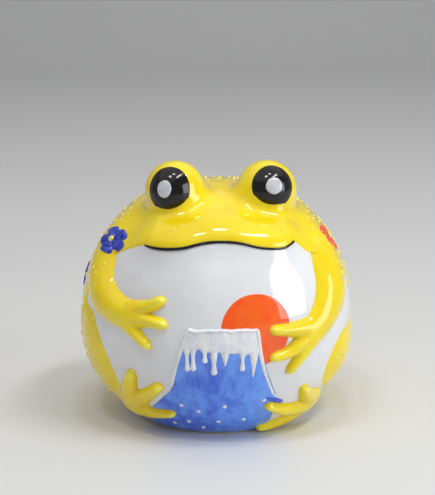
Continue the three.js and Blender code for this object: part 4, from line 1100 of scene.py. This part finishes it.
def finish_painting():
    snow_white = enamel("snow_enamel", (0.76, 0.78, 0.84, 1), (0.87, 0.87, 0.87, 1), size=4, ripple=0.03)
    deep_blue = enamel("deep_blue_enamel", (0.02, 0.05, 0.52, 1), (0.05, 0.10, 0.68, 1), ripple=0.03)
    sun_red = enamel("sun_enamel", (1.0, 0.10, 0.006, 1), (1.0, 0.14, 0.01, 1), size=6, ripple=0.02)
    finish_piece(mountain(), blue_wash(), "blue_enamel", "mountain")
    finish_piece(snow(), snow_white, "snow_enamel", "snow_cap")
    for name, places in (("right", RIGHT_SLOPE[:3]), ("left", LEFT_SLOPE[:5])):
        widths = np.linspace(*RIDGE_HALF_WIDTHS, len(places))
        ridge = painted_stroke(name + "_ridge_stroke", places, widths)
        finish_piece(ridge, snow_white, "snow_enamel", name + "_snow_ridge")
    for name, off in (("outer", SLOPE_LINE_OFFSET), ("inner", -SLOPE_LINE_OFFSET)):
        line = painted_stroke(name + "_slope_line", LEFT_SLOPE[1:5] + [off, 0], SLOPE_LINE_HALF_WIDTHS)
        finish_piece(line, deep_blue, "blue_enamel")
    tip = painted_stroke("slope_tip_stroke", SLOPE_TIP[:, :2], SLOPE_TIP[:, 2], share=0.35)
    finish_piece(tip, deep_blue, "blue_enamel")
    finish_piece(sun(), sun_red, "sun_enamel", "red_sun")
    count = len(SNOWFLAKES)
    radii = np.full(count, SNOWFLAKE_RADIUS)
    flakes = domes("snow_dots", SNOWFLAKES, radii, SNOWFLAKE_RISE, on_paint, rings=6, segments=20)
    finish_piece(flakes, snow_white, "snow_enamel", *[f"snow_dot_{i + 1}" for i in range(count)])


def finish_blossoms():
    blue = enamel("blossom_blue", (0.010, 0.022, 0.34, 1), (0.035, 0.075, 0.58, 1), size=1.4)
    red = enamel("blossom_red", (0.78, 0.06, 0.02, 1), (0.92, 0.17, 0.07, 1), size=1.4)
    bead = enamel("bead_yellow", (0.78, 0.62, 0.10, 1), (0.88, 0.78, 0.25, 1), size=1.2)
    for colour, material in (("blue", blue), ("red", red)):
        for i, (a, e, width, height) in enumerate(BLOSSOMS[colour]):
            name = f"{colour}_blossom_{i + 1}"
            blossom = petals(name + "_petals", (a, e), width, height, seed=40 + i)
            finish_piece(blossom, material, "blossom_" + colour, name)
            dot = domes(f"{colour}_bead_{i + 1}", [(a, e)], [BEAD_RADIUS], BEAD_RISE, on_petals,
                        rings=6, segments=24)
            finish_piece(dot, bead, "bead_yellow", f"{colour}_blossom_bead_{i + 1}")


def dress_frog():
    yellow = yellow_glaze()
    black = black_glaze()
    finish_piece(white_casting(), white_porcelain(), "porcelain", "body_casting")
    for name, piece in yellow_skin().items():
        finish_piece(piece, yellow, "yellow_glaze", name)
    finish_eyes(black)
    finish_mouth(black)
    finish_painting()
    finish_blossoms()
    dots = enamel("dot_enamel", (0.92, 0.76, 0.05, 1), (0.96, 0.86, 0.16, 1))
    finish_piece(skin_dots(), dots, "bead_yellow")


# Floor, light and camera

def floor():
    """A pale sheet, flat under the frog and curving up far behind it."""
    half_width, front, bend, curve, top = 1.6, -1.5, 1.2, 0.5, 2.2
    across = np.linspace(-half_width, half_width, 9)[:, None]
    turn = np.radians(np.linspace(10, 90, 9))
    flat = np.linspace(front, bend, 10)
    along = np.concatenate([flat, bend + curve * np.sin(turn), [bend + curve]])
    up = np.concatenate([0 * flat, curve - curve * np.cos(turn), [top]])
    points = np.stack(np.broadcast_arrays(across, along, up), -1)
    mesh = bpy.data.meshes.new("floor")
    faces = grid_faces(*points.shape[:2], wrap=False)[:, ::-1]
    mesh.from_pydata(points.reshape(-1, 3).tolist(), [], faces.tolist())
    mesh.shade_smooth()
    sheet = bpy.data.objects.new("floor", mesh)
    bpy.context.scene.collection.objects.link(sheet)
    material, tree, shader = new_material("floor_paper")
    set_inputs(shader, Base_Color=(0.72, 0.72, 0.71, 1), Roughness=0.6)
    mesh.materials.append(material)


def area_light(name, place, size, power, colour=(1, 1, 1)):
    """A rectangular lamp that points at the ball's middle."""
    middle = Vector((0, 0, BALL_CENTRE_Z * MM))
    data = bpy.data.lights.new(name, "AREA")
    data.shape = "RECTANGLE"
    data.size, data.size_y = size
    data.energy = power
    data.color = colour
    lamp = bpy.data.objects.new(name, data)
    lamp.location = place
    lamp.rotation_euler = (middle - Vector(place)).to_track_quat("-Z", "Y").to_euler()
    bpy.context.scene.collection.objects.link(lamp)


def lights():
    """A window at the frog's left, a big soft ceiling over it, and three small bright lamps."""
    area_light("window", (0.548, -0.289, 0.184), (0.30, 0.32), 1.4, (0.90, 0.95, 1.0))
    area_light("ceiling", (-0.05, 0.05, 1.0), (2.3, 1.6), 5.4, (1.0, 0.99, 0.97))
    area_light("tube", (0.31, -0.22, 0.74), (0.38, 0.08), 1.8)
    area_light("near_lamp", (-0.17, -0.28, 0.74), (0.12, 0.08), 0.7)
    area_light("far_lamp", (0.02, -0.16, 0.80), (0.12, 0.06), 0.55)
    world = bpy.data.worlds.new("room")
    world.use_nodes = True
    set_inputs(world.node_tree.nodes["Background"], Color=(0.95, 0.96, 1.0, 1), Strength=0.31)
    bpy.context.scene.world = world


CAMERA_DISTANCE = 0.45
CAMERA_AZIMUTH = -2.5
CAMERA_ELEVATION = 15.0
FOCAL_PIXELS = 1343.0
IMAGE_SIZE = (435, 495)
BALL_PIXEL = (217.0, 305.0)  # where the ball's centre is in the photograph
SENSOR = 36.0


def camera():
    """Looks along the line on which the ball's centre falls at its pixel, with no shift."""
    middle = np.array([0, 0, BALL_CENTRE_Z * MM])
    place = middle + CAMERA_DISTANCE * direction(CAMERA_AZIMUTH, CAMERA_ELEVATION)
    down = math.atan((BALL_PIXEL[1] - IMAGE_SIZE[1] / 2) / FOCAL_PIXELS)
    across = math.atan((BALL_PIXEL[0] - IMAGE_SIZE[0] / 2) / FOCAL_PIXELS)
    pitch = math.radians(CAMERA_ELEVATION) - down
    data = bpy.data.cameras.new("camera")
    data.sensor_fit = "VERTICAL"
    data.sensor_height = SENSOR
    data.lens = FOCAL_PIXELS * SENSOR / IMAGE_SIZE[1]
    eye_point = bpy.data.objects.new("camera", data)
    eye_point.location = place
    heading = math.radians(CAMERA_AZIMUTH) + across
    eye_point.rotation_euler = (math.pi / 2 - pitch, 0, heading)
    bpy.context.scene.collection.objects.link(eye_point)
    bpy.context.scene.camera = eye_point


bpy.context.scene.view_settings.view_transform = "Standard"
camera()
lights()
floor()
dress_frog()
